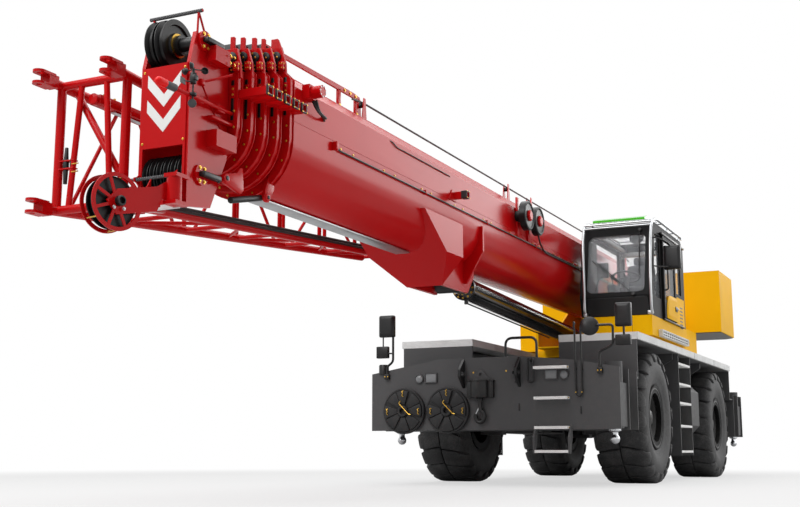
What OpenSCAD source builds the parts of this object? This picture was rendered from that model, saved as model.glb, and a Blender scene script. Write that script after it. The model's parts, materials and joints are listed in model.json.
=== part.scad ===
// Two-axle rough terrain crane with a six-section telescopic boom, a stowed lattice jib and a side cab.
// X runs forward along the boom, Y to the left, Z up. Lengths are in millimetres.

/* [Running gear] */
// Distance between the axles
wheelbase = 4670; // [4500:10:4900]
// Tyre diameter over the lugs' tips
tyre_d = 1875; // [1800:5:1950]
// Tyre width
tyre_w = 770; // [700:5:800]
// Distance between tyre centres across the carrier
track_w = 2710; // [2650:10:2780]
// Rim diameter over its flanges
rim_d = 900; // [860:5:940]
// Kingpin distance inboard of the tyre centre
kingpin_in = 435; // [415:5:450]
// Kingpin radius
kingpin_r = 50; // [40:1:60]
// Spindle radius
spindle_r = 120; // [100:1:130]
// Radius of the axle tubes
axle_r = 150; // [120:5:170]

/* [Carrier] */
// Width of the frame's box beam
frame_w = 960; // [900:10:1000]
// Height of the frame's box beam
frame_h = 430; // [400:10:460]
// Clear height from the wheel centre to the frame
frame_rise = 212; // [208:1:230]
// Plate thickness of frame, boxes and hood
plate_t = 25; // [18:1:32]
// Outer radius of the turret base
turret_r = 780; // [740:10:820]
// Clear height over the tyres, under the decks
deck_clear = 85; // [70:5:110]
// Thickness of the decks
deck_t = 100; // [80:5:110]
// Width over both decks
deck_w = 3550; // [3500:10:3620]
// Gap between the decks
deck_gap = 1300; // [1240:10:1340]
// Reach of the decks past the front axle
deck_fore = 1265; // [1245:5:1300]
// Reach of the decks past the rear axle
deck_aft = 1105; // [1050:5:1150]

/* [Outriggers] */
// Reach of the outrigger boxes past the axles
box_reach = 2265; // [2220:5:2320]
// Length of an outrigger box along the carrier
box_d = 900; // [860:10:930]
// Width of an outrigger box
box_w = 3530; // [3480:10:3550]
// Height of the box bottom above the ground
box_low = 735; // [700:5:770]
// Height of the box at its ends
box_end_h = 785; // [740:5:820]
// Height of the box at its middle
box_mid_h = 965; // [930:5:1000]
// Outrigger beam height
beam_h = 560; // [520:5:600]
// Radius of the jack sleeves
sleeve_r = 120; // [110:1:130]
// Radius of the jack rods
jack_r = 80; // [70:1:90]
// Radius of a stowed float
float_r = 310; // [280:5:320]

/* [Superstructure] */
// Radius of the turntable's bearing plate
bearing_r = 880; // [840:10:910]
// Spacing of the turntable's side plates, inside
cheek_gap = 1000; // [980:10:1040]
// Thickness of the turntable's side plates
cheek_t = 40; // [30:1:50]
// Distance of the boom foot pin behind the slewing axis
foot_back = 2300; // [2250:10:2350]
// Radius of the boom foot pin
foot_r = 90; // [80:1:100]
// Distance of the lift cylinder's base pin ahead of the slewing axis
lift_fore = 600; // [550:10:650]
// Front of the counterweight behind the slewing axis
weight_back = 2900; // [2880:10:2960]
// Length of the counterweight
weight_l = 1500; // [1420:10:1540]
// Height of the counterweight
weight_h = 1160; // [1100:10:1200]
// Width of the counterweight
weight_w = 3500; // [3400:10:3540]

/* [Cab] */
// Width of the cab
cab_w = 1060; // [1000:10:1080]
// Length of the cab at its sill
cab_l = 2450; // [2350:10:2500]
// Height of the cab over its platform
cab_h = 1750; // [1680:10:1800]
// Inner edge of the cab from the centre line
cab_in = 600; // [590:5:620]
// Thickness of the cab's walls
wall_t = 50; // [40:1:60]
// Thickness of the glass
glass_t = 8; // [6:0.5:10]

/* [Boom] */
// Width of the base section
boom_w = 900; // [880:5:920]
// Height of the base section
boom_h = 1140; // [1100:5:1160]
// Height of the boom's underside over the decks
boom_rise = 640; // [625:5:670]
// Reach of the base section ahead of the slewing axis
boom_reach = 10650; // [10200:50:11000]
// Step in from one section to the next
section_step = 43; // [42:0.5:44]
// Wall thickness of the sections
boom_t = 12; // [10:0.5:14]
// Distance between the sections' front collars
collar_pitch = 140; // [120:5:150]
// Reach of the head past the last collar
head_reach = 560; // [540:5:600]
// Radius of the lift cylinder's barrel
barrel_r = 145; // [135:1:150]
// Radius of the lift cylinder's rod
rod_r = 105; // [95:1:110]
// Radius of the jib's chords
chord_r = 45; // [38:1:50]

/* [Hidden] */
$fn = 48;

// Colours as the machine shows them
red = [0.72, 0.05, 0.06];
yellow = [0.95, 0.68, 0.05];
dark = [0.27, 0.28, 0.29];
pale = [0.80, 0.80, 0.78];
black = [0.05, 0.05, 0.05];
steel = [0.62, 0.63, 0.65];
glass_tint = [0.55, 0.72, 0.68, 0.4];

// Fits: running pins, sliding faces and open clearances
run_fit = 0.05;
slide_fit = plate_t / 50;
open_gap = plate_t * 0.4;

// Carrier stations, worked out from the tyres up
axle_x = wheelbase / 2;
wheel_z = tyre_d / 2;
kingpin_y = track_w / 2 - kingpin_in;
frame_low = wheel_z + frame_rise;
frame_top = frame_low + frame_h;
deck_low = tyre_d + deck_clear;
deck_top = deck_low + deck_t;
deck_front = axle_x + deck_fore;
deck_rear = axle_x + deck_aft;
box_face = axle_x + box_reach;
box_back = box_face - box_d;
box_end_z = box_low + box_end_h;
box_mid_z = box_low + box_mid_h;
bay_d = (box_d - 3 * plate_t) / 2;
beam_w = bay_d - 2 * open_gap;
beam_low = box_low + plate_t + open_gap;
jack_y = box_w / 2 - sleeve_r - plate_t;
notch_y = jack_y - 1.5 * sleeve_r;
jack_low = box_low - 0.9 * sleeve_r;
cross_x = 0.7 * turret_r;
between_x = axle_x - tyre_d * 0.66;

// Superstructure stations
bearing_low = deck_low + 0.3 * deck_t;
floor_low = deck_top + 0.6 * deck_t;
floor_top = floor_low + plate_t;
boom_low = deck_top + boom_rise;
boom_top = boom_low + boom_h;
foot_z = boom_low + 0.675 * boom_h;
lift_z = floor_top + barrel_r + open_gap;
cheek_y = cheek_gap / 2;
weight_low = boom_low - 0.3 * deck_t;
recess_y = cheek_y + 2.5 * cheek_t;
deck_ring = bearing_r + 0.8 * deck_t;

// Boom stations
head_back = boom_reach + 4 * collar_pitch;
head_front = head_back + head_reach;
eye_x = foot_back * 2.58;
eye_z = boom_low - 1.5 * rod_r;
head_inset = 5 * section_step;
head_half = boom_w / 2 - head_inset;
head_z = boom_low + boom_w / 2;
nose_x = head_front + 0.38 * head_half;
nose_y = 0.85 * head_half;
nose_turn = 14;
hub_x = 2.17 * head_half;
guard_r = 0.95 * head_half;
nose_front = nose_x + cos(nose_turn) * (hub_x + guard_r);
hitch_reach = 1.3 * deck_t;
hitch_r = 26;
mid_x = (nose_front - box_face - hitch_reach) / 2;

// A box from its two corners
module block(a, b) {
    translate(a) cube(b - a);
}

// An outline in X and Z, drawn out along Y
module along_y(points, y0, y1) {
    translate([0, y1, 0]) rotate([90, 0, 0]) linear_extrude(y1 - y0) polygon(points);
}

// An outline in Y and Z, drawn out along X
module along_x(points, x0, x1) {
    translate([x0, 0, 0]) rotate([90, 0, 90]) linear_extrude(x1 - x0) polygon(points);
}

// A round bar from a to b
module bar(a, b, r) {
    d = b - a;
    l = norm(d);
    translate(a) rotate([0, acos(d.z / l), atan2(d.y, d.x)]) cylinder(h = l, r = r);
}

// A round bar along Y through x, z
module cross_pin(x, z, r, y0, y1) {
    translate([x, y0, z]) rotate([-90, 0, 0]) cylinder(h = y1 - y0, r = r);
}

// Both sides of the machine
module sides() {
    children();
    mirror([0, 1, 0]) children();
}

// Both ends of the carrier
module ends() {
    children();
    mirror([1, 0, 0]) children();
}

// Crane stations are counted from mid-wheelbase; the row's origin is the middle of the length
module row() {
    translate([-mid_x, 0, 0]) children();
}

// A convex outline moved in by d
function unit(v) = v / norm(v);
function edge_in(p, i) = let (n = len(p), e = unit(p[(i + 1) % n] - p[i])) [-e.y, e.x];
function inset(p, d) = [
    for (i = [0 : len(p) - 1])
        let (n = len(p), a = edge_in(p, (i + n - 1) % n), b = edge_in(p, i))
        p[i] + (a + b) * d / (1 + a * b)
];

// The boom's outline in Y and Z, moved in by d: a bent round bottom, flat sides and bevelled top corners
boom_bends = 10;
bevel = 0.36 * boom_w / 2;
function boom_outline(d) = let (h = boom_w / 2 - d, c = bevel - d * (2 - sqrt(2)), t = boom_top - d) concat(
    [for (i = [0 : boom_bends]) let (a = 180 + 180 * i / boom_bends) [h * cos(a), head_z + h * sin(a)]],
    [[h, t - c], [h - c, t], [c - h, t], [-h, t - c]]
);

// A length of boom tube between two insets
module boom_shell(d_out, d_in, x0, x1) {
    difference() {
        along_x(boom_outline(d_out), x0, x1);
        along_x(boom_outline(d_in), x0 - boom_t, x1 + boom_t);
    }
}

// A boom section: its tube, front collar with sliding pads inside it, and rear sliding ring
module boom_section(n) {
    d = (n - 1) * section_step;
    tail = -foot_back + n * collar_pitch;
    front = boom_reach + (n - 1) * collar_pitch;
    collar = 0.55 * collar_pitch;
    top = boom_top - d + section_step;
    boom_shell(d, d + boom_t, tail, front);
    boom_shell(d - section_step, d + boom_t / 2, front - collar, front);
    boom_shell(d + boom_t / 2, d + section_step - slide_fit, front - collar, front);
    boom_shell(d - section_step + boom_t + slide_fit, d + boom_t / 2, tail, tail + collar);
    collar_tab(front, top, 0.1 * boom_h);
}

// A rope guide's tab on the top of a collar, on the left
module collar_tab(front, top, h) {
    w = 0.5 * section_step;
    y = 0.42 * boom_w / 2;
    along_y([[front - 3 * w, top - boom_t], [front - w, top - boom_t], [front - w, top + h],
        [front - 2.2 * w, top + h], [front - 3 * w, top + 0.6 * h]], y - w, y + 0.5 * w);
}

// Frame: a box beam open over the engine, a cross box and the turret base
module frame() {
    half = frame_w / 2;
    hatch_front = -turret_r * 1.5;
    hatch_rear = -box_back + 4 * plate_t;
    color(dark) row() {
        difference() {
            union() {
                block([-box_back, -half, frame_low], [box_back, half, frame_top]);
                block([-cross_x, -turret_r, frame_low], [cross_x, turret_r, frame_top]);
                translate([0, 0, frame_top - plate_t])
                    cylinder(h = bearing_low - slide_fit - frame_top + plate_t, r = turret_r);
            }
            block([-box_back - plate_t, plate_t - half, frame_low + plate_t],
                [box_back + plate_t, half - plate_t, frame_top - plate_t]);
            block([hatch_rear, plate_t - half, frame_low + plate_t],
                [hatch_front, half - plate_t, frame_top + plate_t]);
            translate([0, 0, frame_low + plate_t]) cylinder(h = deck_low, r = turret_r - 4 * plate_t);
        }
    }
}

// Face of an outrigger box, in Y and Z: low ends, a raised middle
function box_face_outline(half) = [
    [-half, box_low], [half, box_low], [half, box_end_z], [0.66 * half,
        box_end_z + 0.6 * (box_mid_z - box_end_z)],
    [0.24 * half, box_mid_z], [-0.41 * half, box_mid_z], [-half, box_end_z]
];

// Outrigger box: face plates, a middle wall, and floor and roof cut back for the jacks
module outrigger_box() {
    half = box_w / 2;
    roof = box_end_z - plate_t;
    bolster = beam_low + beam_h + slide_fit;
    seat_y = notch_y - beam_w / 2;
    for (x = [box_back, box_back + plate_t + bay_d, box_face - plate_t])
        along_x(box_face_outline(half), x, x + plate_t);
    block([box_back, -notch_y, box_low], [box_face, notch_y, box_low + plate_t]);
    block([box_back, -notch_y, roof], [box_face, notch_y, box_end_z]);
    sides() {
        block([box_back, seat_y, bolster], [box_face, notch_y, roof]);
        block([box_back, seat_y, box_low], [box_face, notch_y, beam_low - slide_fit]);
    }
}

module front_box() {
    x1 = box_face + 1.2 * deck_t;
    color(dark) row() {
        outrigger_box();
        for (y = [front_step_y - plate_t, front_step_y + front_step_w])
            along_y([[box_face - plate_t / 2, 0.54 * box_end_z], [box_face - plate_t / 2,
                0.42 * box_end_z], [x1 - 2 * plate_t, 0.28 * box_end_z],
                [x1, 0.28 * box_end_z], [x1, 0.42 * box_end_z]], y, y + plate_t);
        for (y = [-0.226, 0.204]) diamond_lug(y * box_w / 2);
    }
}

// A diamond plate with a bored boss, on the face of a box
module diamond_lug(y) {
    z = box_end_z - 0.4 * deck_t;
    h = 1.3 * deck_t;
    w = 0.6 * deck_t;
    difference() {
        union() {
            translate([0, y, z]) along_x([[0, -h], [w, 0], [0, h], [-w, 0]], box_face - plate_t / 2,
                box_face + plate_t);
            translate([box_face, y, z]) rotate([0, 90, 0]) cylinder(h = 2 * plate_t, r = 0.42 * deck_t);
        }
        translate([box_face, y, z]) rotate([0, 90, 0]) cylinder(h = 3 * plate_t, r = 0.25 * deck_t);
    }
}

module rear_box() {
    color(dark) row() mirror([1, 0, 0]) {
        outrigger_box();
        tow_jaw();
    }
}

// Two ears with a drawbar pin's bore, on the face of a box
module tow_jaw() {
    half = 0.8 * deck_t;
    z = box_low + 0.3 * box_end_h;
    ear = 1.2 * plate_t;
    for (low = [z - half - ear, z + half]) difference() {
        block([box_face, -half, low], [box_face + hitch_reach, half, low + ear]);
        translate([box_face + hitch_reach - half / 2, 0, low - ear]) cylinder(h = 3 * ear, r = hitch_r);
    }
}

// Decks over the wheels, cut round the turntable
module decks() {
    color(pale) row() sides() difference() {
        block([-deck_rear, deck_gap / 2, deck_low], [deck_front, deck_w / 2, deck_top]);
        for (x = [[-deck_rear, -between_x], [-between_x, between_x], [between_x, deck_front]])
            block([x[0] + 2 * plate_t, deck_ring, deck_low - deck_t], [x[1] - 2 * plate_t,
                deck_w / 2 - plate_t, deck_top - plate_t]);
        translate([0, 0, deck_low - deck_t]) cylinder(h = 3 * deck_t, r = deck_ring);
    }
}

// Brackets that carry the decks: webs off the frame between the wheels, and valances off the boxes
module deck_brackets() {
    half = frame_w / 2;
    tip = deck_w / 2 - deck_t;
    web = [[half, frame_low], [half, frame_top], [deck_gap / 2, deck_low], [tip, deck_low], [tip,
        deck_low - deck_t]];
    color(dark) row() sides() {
        for (x = [-1, 1]) along_x(web, x * (between_x - plate_t) - plate_t,
            x * (between_x - plate_t) + plate_t);
        for (x = [ladder_x0, ladder_x1 - plate_t])
            block([x, ladder_y - 2.4 * deck_t, 0.2 * deck_low], [x + plate_t, ladder_y, deck_low]);
        valance(deck_front);
        mirror([1, 0, 0]) valance(deck_rear);
    }
}

// A dark panel under a deck's end, with its shelf to the outrigger box
module valance(end) {
    shelf = box_end_z - 4 * plate_t;
    block([end - plate_t, deck_gap / 2, shelf], [end, deck_w / 2 - plate_t, deck_low]);
    block([end - plate_t, deck_gap / 2, shelf], [box_back, deck_w / 2 - plate_t, shelf + plate_t]);
}

// Hood on the frame, over the engine
module engine_hood() {
    half = frame_w / 2;
    back = plate_t - box_back;
    front = -turret_r * 1.47;
    crown = deck_top - plate_t;
    color(dark) row() difference() {
        along_x([[-half, frame_top], [half, frame_top], [half, crown - deck_t], [half - deck_t, crown],
            [deck_t - half, crown], [-half, crown - deck_t]], back, front);
        block([back + plate_t, plate_t - half, frame_top - plate_t],
            [front - plate_t, half - plate_t, crown - deck_t]);
    }
}

// The engine and its gearbox as one mass on the frame's floor
module engine_block() {
    half = frame_w * 0.38;
    color(steel) row() block([-box_back + 8 * plate_t, -half, frame_low + plate_t],
        [-turret_r * 1.8, half, deck_low - 2 * deck_t]);
}

// Tanks on the frame's cross box, between the wheels
module tanks() {
    tip = deck_w / 2 - 1.4 * deck_t;
    low = box_low + plate_t;
    high = frame_top - plate_t;
    cut = 1.2 * deck_t;
    shape = [[turret_r, low], [tip - cut, low], [tip, low + cut], [tip, high - cut], [tip - cut, high],
        [turret_r, high]];
    color(dark) row() {
        sides() difference() {
            along_x(shape, -between_x + 3 * plate_t, deck_t);
            block([-between_x + 4 * plate_t, turret_r - plate_t, low + plate_t],
                [deck_t - plate_t, tip - cut, high - plate_t]);
        }
    }
}

// Treads of the side ladders and of the steps on the front box
step_shares = [0.24, 0.44, 0.62, 0.77, 0.93];
front_step_shares = [0.31, 0.51, 0.76, 1.02];
front_step_y = 0.5 * deck_gap;
front_step_w = 4.5 * deck_t;
ladder_x0 = 1.3 * deck_t;
ladder_x1 = between_x - 3 * plate_t;
ladder_y = deck_w / 2 - plate_t;
module ladders() {
    x1 = box_face + 1.2 * deck_t;
    color(pale) row() {
        sides() for (s = step_shares)
            block([ladder_x0 + plate_t, ladder_y - 2.4 * deck_t, s * deck_low - 1.4 * plate_t],
                [ladder_x1 - plate_t, ladder_y, s * deck_low]);
        for (s = front_step_shares)
            block([box_face, front_step_y, s * box_end_z - 1.4 * plate_t], [x1,
                front_step_y + front_step_w, s * box_end_z]);
    }
}

// Grab tubes on the front box and a hoop beside the steps
module grab_rails() {
    r = 0.18 * deck_t;
    hoop_x = box_face - 2 * deck_t;
    hoop_y = 0.12 * deck_gap;
    hoop_w = 4.4 * deck_t;
    hoop_z = deck_low;
    post_y = 0.678 * box_w / 2;
    color(black) row() {
        for (y = [post_y, post_y + 3 * r])
            bar([box_face + r, y, box_low + 4.4 * deck_t], [box_face + r, y, deck_top + 0.6 * deck_t], r);
        for (y = [hoop_y, hoop_y + hoop_w]) bar([hoop_x, y, box_end_z], [hoop_x, y, hoop_z], r);
        bar([hoop_x, hoop_y - r, hoop_z], [hoop_x, hoop_y + hoop_w + r, hoop_z], r);
    }
}

// Axle tubes with the differential, spring seats and steering yokes
module axle() {
    yoke = 1.15 * axle_r;
    arm = 0.4 * axle_r;
    wall_y = kingpin_y - 1.3 * axle_r;
    seat = frame_w / 4;
    translate([axle_x, 0, wheel_z]) {
        sphere(r = 0.97 * frame_rise);
        rotate([90, 0, 0]) cylinder(h = 2 * wall_y, r = axle_r, center = true);
    }
    sides() {
        block([axle_x - axle_r, seat, wheel_z], [axle_x + axle_r, seat + axle_r, frame_low]);
        difference() {
            union() {
                block([axle_x - 0.8 * axle_r, wall_y - arm, wheel_z - yoke - arm],
                    [axle_x + 0.8 * axle_r, wall_y, wheel_z + yoke + arm]);
                for (z = [wheel_z + yoke, wheel_z - yoke - arm])
                    block([axle_x - 0.8 * axle_r, wall_y - arm, z], [axle_x + 0.8 * axle_r,
                        kingpin_y + 0.5 * axle_r, z + arm]);
            }
            translate([axle_x, kingpin_y, wheel_z - 2 * yoke]) cylinder(h = 4 * yoke,
                r = kingpin_r + run_fit);
        }
    }
}

module axles() {
    color(dark) row() ends() axle();
}

// Steering knuckle with its kingpin and spindle
module knuckle(fore, left) {
    yoke = 1.15 * axle_r;
    arm = 0.4 * axle_r;
    color(dark) row() translate([fore * axle_x, left * kingpin_y, wheel_z]) {
        cylinder(h = 2 * (yoke + arm), r = kingpin_r, center = true);
        cylinder(h = 2 * (yoke - slide_fit), r = 0.62 * axle_r, center = true);
        rotate([-90 * left, 0, 0]) cylinder(h = kingpin_in + spindle_r, r = spindle_r);
    }
}

// Cross section of a rim, from its axis outwards; the outer side is up
module rim(fore, left) {
    flange = rim_d / 2;
    well = flange - 0.07 * rim_d;
    barrel = well - 0.04 * rim_d;
    hub = 1.7 * spindle_r;
    half = 0.42 * tyre_w;
    lip = 0.033 * tyre_w;
    dish = 0.1 * tyre_w;
    cap = spindle_r + run_fit;
    color(black) row() translate([fore * axle_x, left * track_w / 2, wheel_z])
        rotate([-90 * left, 0, 0]) rotate_extrude() polygon([
            [0, cap], [cap, cap], [cap, -1.3 * spindle_r], [hub, -1.3 * spindle_r], [hub, 0.2 * dish],
            [barrel, 0.2 * dish], [barrel, -half], [flange, -half], [flange, lip - half],
            [well, 3 * lip - half], [well, half - 3 * lip], [flange, half - lip], [flange, half],
            [barrel, half], [barrel, dish], [hub, 1.6 * dish], [0.85 * hub, 2.6 * dish], [0, 2.6 * dish]
        ]);
}

// Tyre with staggered lugs: its outline from bead to bead as radius, width and depth of the gaps
lugs = 16;
tyre_steps = 4 * lugs;
bead = 1 / cos(0.235 * 360 / lugs);
tyre_wall = (tyre_d - rim_d) / 2;
tyre_half = tyre_w / 2;
tyre_side = [
    [bead * 0.43 * rim_d, 0.321 * tyre_w, 0], [bead * rim_d / 2, 0.387 * tyre_w, 0],
    [bead * rim_d / 2 + 0.25 * tyre_wall, 0.97 * tyre_half, 0],
    [tyre_d / 2 - 0.34 * tyre_wall, tyre_half, 0.02 * tyre_wall],
    [tyre_d / 2, 0.84 * tyre_half, 0.17 * tyre_wall]
];
tyre_profile = concat(tyre_side, [[tyre_d / 2 - 0.03 * tyre_wall, 0, 0]],
    [for (j = [4 : -1 : 0]) [tyre_side[j].x, -tyre_side[j].y, -tyre_side[j].z]]);
function tyre_point(k, j) = let (
        p = tyre_profile[j],
        turn = (floor(k / 4) + [0, 0.42, 0.5, 0.92][k % 4]) * 360 / lugs,
        skew = 0.3 * 360 / lugs * (1 - abs(p.y) / tyre_half),
        low = p.z >= 0 ? (k % 4) > 1 : (k % 4) < 2,
        r = p.x - (low ? abs(p.z) : 0),
        a = turn + skew
    ) [r * cos(a), p.y, r * sin(a)];
module tyre(fore, left) {
    ring = len(tyre_profile);
    points = [for (k = [0 : tyre_steps - 1]) for (j = [0 : ring - 1]) tyre_point(k, j)];
    faces = [for (k = [0 : tyre_steps - 1]) for (j = [0 : ring - 1])
        let (k1 = (k + 1) % tyre_steps, j1 = (j + 1) % ring)
        for (f = [[k * ring + j, k * ring + j1, k1 * ring + j1], [k * ring + j, k1 * ring + j1,
            k1 * ring + j]]) f];
    color(black) row() translate([fore * axle_x, left * track_w / 2, wheel_z])
        mirror([0, left < 0 ? 1 : 0, 0]) polyhedron(points = points, faces = faces);
}

// Round and square lamps on both boxes
module lamps() {
    lamp_z = box_end_z - 0.8 * deck_t;
    lamp_r = 0.5 * deck_t;
    color(pale) row() ends() sides() {
        translate([box_face, 0.58 * box_w / 2, lamp_z]) rotate([0, 90, 0]) cylinder(h = 0.6 * lamp_r,
            r = lamp_r);
        block([box_face, 0.46 * box_w / 2, lamp_z - lamp_r], [box_face + 0.6 * lamp_r,
            0.46 * box_w / 2 + 2 * lamp_r, lamp_z + lamp_r]);
    }
}

// Mirrors on posts at the front corners
module carrier_mirrors() {
    r = 0.14 * deck_t;
    x = box_face + 2 * r;
    y = 0.86 * box_w / 2;
    glass_low = deck_top - 0.35 * deck_t;
    glass_h = 3 * deck_t;
    clamp = box_end_z - 0.8 * deck_t;
    color(black) row() for (left = [-1, 1]) {
        post = left * y;
        glass = left > 0 ? 1.18 * y : post;
        block([box_face, post - 2 * r, clamp], [x + r, post + 2 * r, clamp + 0.5 * deck_t]);
        bar([x, post, clamp + r], [x, glass, glass_low + r], r);
        block([x - r, glass - 0.9 * deck_t, glass_low], [x + r, glass + 0.9 * deck_t, glass_low + glass_h]);
    }
}

// Floats stowed on the front box
module floats() {
    t = 0.9 * deck_t;
    low = box_low + 0.85 * float_r;
    color(dark) row() for (y = [-0.71, -0.34]) translate([box_face, y * box_w / 2, low])
    rotate([0, 90, 0]) {
        rotate([0, 0, 15]) cylinder(h = t, r = float_r, $fn = 12);
        for (a = [0 : 45 : 135]) rotate([0, 0, a + 22]) block([-0.9 * float_r, -0.03 * float_r, 0.5 * t],
            [0.9 * float_r, 0.03 * float_r, 1.12 * t]);
        cylinder(h = 1.3 * t, r = 0.24 * float_r);
    }
}

// Hook holder on the front box, with the stowed hook
module hook_holder() {
    w = 1.7 * deck_t;
    y = -0.07 * box_w / 2;
    z = box_low + 5.3 * deck_t;
    x = box_face + 0.5 * deck_t;
    color(dark) row() {
        block([box_face, y - w, z - 0.8 * deck_t], [box_face + 1.1 * deck_t, y + w, z + deck_t]);
        along_x([[y - 0.9 * w, z + 0.9 * deck_t], [y + 0.9 * w, z + 0.9 * deck_t], [y + 0.15 * w,
            z + 2.7 * deck_t], [y - 0.15 * w, z + 2.7 * deck_t]],
            box_face, box_face + plate_t);
        bar([x, y, z - 0.5 * deck_t], [x, y, z - 2.1 * deck_t], 0.26 * deck_t);
        translate([x, y, z - 2.7 * deck_t]) rotate([0, 90, 0]) difference() {
            cylinder(h = 0.5 * deck_t, r = 0.75 * deck_t, center = true);
            cylinder(h = deck_t, r = 0.4 * deck_t, center = true);
            block([-0.6 * deck_t, 0, -deck_t], [0.2 * deck_t, deck_t, deck_t]);
        }
    }
}

// Outrigger beam reaching to the left out of the front bay, with the jack's sleeve at its end
module beam() {
    x0 = box_face - plate_t - open_gap - beam_w;
    mid = x0 + beam_w / 2;
    top = beam_low + beam_h;
    tail = -0.42 * box_w;
    sleeve_low = jack_low + sleeve_r;
    difference() {
        union() {
            block([x0, tail, beam_low], [x0 + beam_w, jack_y + sleeve_r, top]);
            translate([mid, jack_y, sleeve_low]) cylinder(h = box_end_z + 0.7 * sleeve_r - sleeve_low,
                r = sleeve_r);
        }
        block([x0 + plate_t, tail - plate_t, beam_low + plate_t],
            [x0 + beam_w - plate_t, jack_y - 1.5 * sleeve_r, top - plate_t]);
        translate([mid, jack_y, sleeve_low - sleeve_r])
            cylinder(h = box_end_z + 1.2 * sleeve_r - sleeve_low, r = jack_r + run_fit);
    }
}

// Jack rod with its ball end
module jack() {
    mid = box_face - plate_t - open_gap - beam_w / 2;
    translate([mid, jack_y, 0]) {
        translate([0, 0, jack_low]) cylinder(h = box_end_z - jack_low, r = jack_r);
        translate([0, 0, jack_low]) sphere(r = 1.15 * jack_r);
    }
}

// The other three corners are the left front one turned or mirrored
module corner(n) {
    if (n == 0) children();
    if (n == 1) translate([box_face + box_back, 0, 0]) rotate([0, 0, 180]) children();
    if (n == 2) mirror([1, 0, 0]) children();
    if (n == 3) mirror([1, 0, 0]) translate([box_face + box_back, 0, 0]) rotate([0, 0, 180]) children();
}

module beam_at(n) {
    color(dark) row() corner(n) beam();
}

module jack_at(n) {
    color(steel) row() corner(n) jack();
}

// A sheet-metal cabinet, open below
module cabinet(a, b) {
    t = [plate_t, plate_t, plate_t] / 2;
    difference() {
        block(a, b);
        block(a + [t.x, t.y, -t.z], b - t);
    }
}

// Turntable: bearing plate, floor, side plates with the boom foot pin, lift pin and cabinets
module turntable() {
    y0 = cheek_y;
    y1 = cheek_y + cheek_t;
    tail = -weight_back - 0.85 * weight_l;
    crown = foot_z + 2.1 * foot_r;
    cheek = [
        [tail, weight_low - 3 * deck_t], [-weight_back, floor_top - plate_t],
        [1.8 * lift_fore, floor_top - plate_t], [1.8 * lift_fore, lift_z + barrel_r],
        [0, lift_z + 1.6 * barrel_r], [-0.85 * foot_back, crown],
        [-1.1 * foot_back, crown], [-1.22 * foot_back, foot_z], [-1.24 * foot_back, weight_low], [tail,
            weight_low]
    ];
    lug = [
        [lift_fore - barrel_r, floor_top - plate_t], [lift_fore + barrel_r, floor_top - plate_t],
        [lift_fore + 0.8 * barrel_r, lift_z + 0.7 * barrel_r], [lift_fore - 0.8 * barrel_r,
            lift_z + 0.7 * barrel_r]
    ];
    color(yellow) row() {
        translate([0, 0, bearing_low]) cylinder(h = floor_low - bearing_low, r = bearing_r);
        block([-weight_back, -y1, floor_low], [1.8 * lift_fore, y1, floor_top]);
        block([-0.3 * cab_l, y1 - cheek_t, floor_low], [0.9 * cab_l, cab_in + 0.95 * cab_w, floor_top]);
        sides() {
            along_y(cheek, y0, y1);
            along_y(lug, 0.8 * barrel_r, 0.8 * barrel_r + cheek_t);
        }
        cross_pin(-foot_back, foot_z, foot_r, -y1, y1);
        cross_pin(lift_fore, lift_z, 0.45 * barrel_r, -barrel_r, barrel_r);
        cabinet([-0.7 * foot_back, -1.88 * y1, floor_low], [0.85 * lift_fore, -y0,
            floor_low + 5.5 * deck_t]);
        cabinet([-1.1 * foot_back, y0, floor_low], [-0.35 * cab_l, 2.5 * y1, floor_low + 5 * deck_t]);
    }
}

// Counterweight: a slab under two wings and a rear wall, rounded at the back, open for the winches
module counterweight() {
    half = weight_w / 2;
    back = -weight_back - weight_l;
    top = weight_low + weight_h;
    slab = weight_low + 0.14 * weight_h;
    corner = 0.1 * weight_l;
    plan = [[-weight_back, -half], [-weight_back, half], [back + corner, half], [back, half - corner],
        [back, corner - half], [back + corner, -half]];
    color(yellow) row() difference() {
        translate([0, 0, weight_low]) linear_extrude(weight_h) polygon(plan);
        block([back + 0.14 * weight_l, -recess_y, slab], [-weight_back + plate_t, recess_y, top + plate_t]);
    }
}

// Two winches between their frames, on the counterweight's slab
module winches() {
    slab = weight_low + 0.14 * weight_h;
    r = 0.17 * weight_l;
    rim_r = 1.28 * r;
    y = cheek_y + cheek_t;
    x1 = -weight_back - 1.2 * rim_r;
    z1 = slab + 1.15 * rim_r;
    x2 = x1 - 1.55 * rim_r;
    z2 = z1 + 1.5 * rim_r;
    post = [[x2 - 0.5 * r, slab], [x1 + 0.6 * r, slab], [x1 + 0.6 * r, z1 + 0.4 * r], [x2 + 0.5 * r,
        z2 + 0.4 * r],
        [x2 - 0.5 * r, z2 + 0.4 * r]];
    color(black) row() {
        sides() along_y(post, y, y + cheek_t);
        for (p = [[x1, z1], [x2, z2]]) {
            cross_pin(p.x, p.y, r, -y, y);
            for (s = [-0.8 * y, 0.8 * y - plate_t]) cross_pin(p.x, p.y, rim_r, s, s + plate_t);
        }
    }
}

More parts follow.
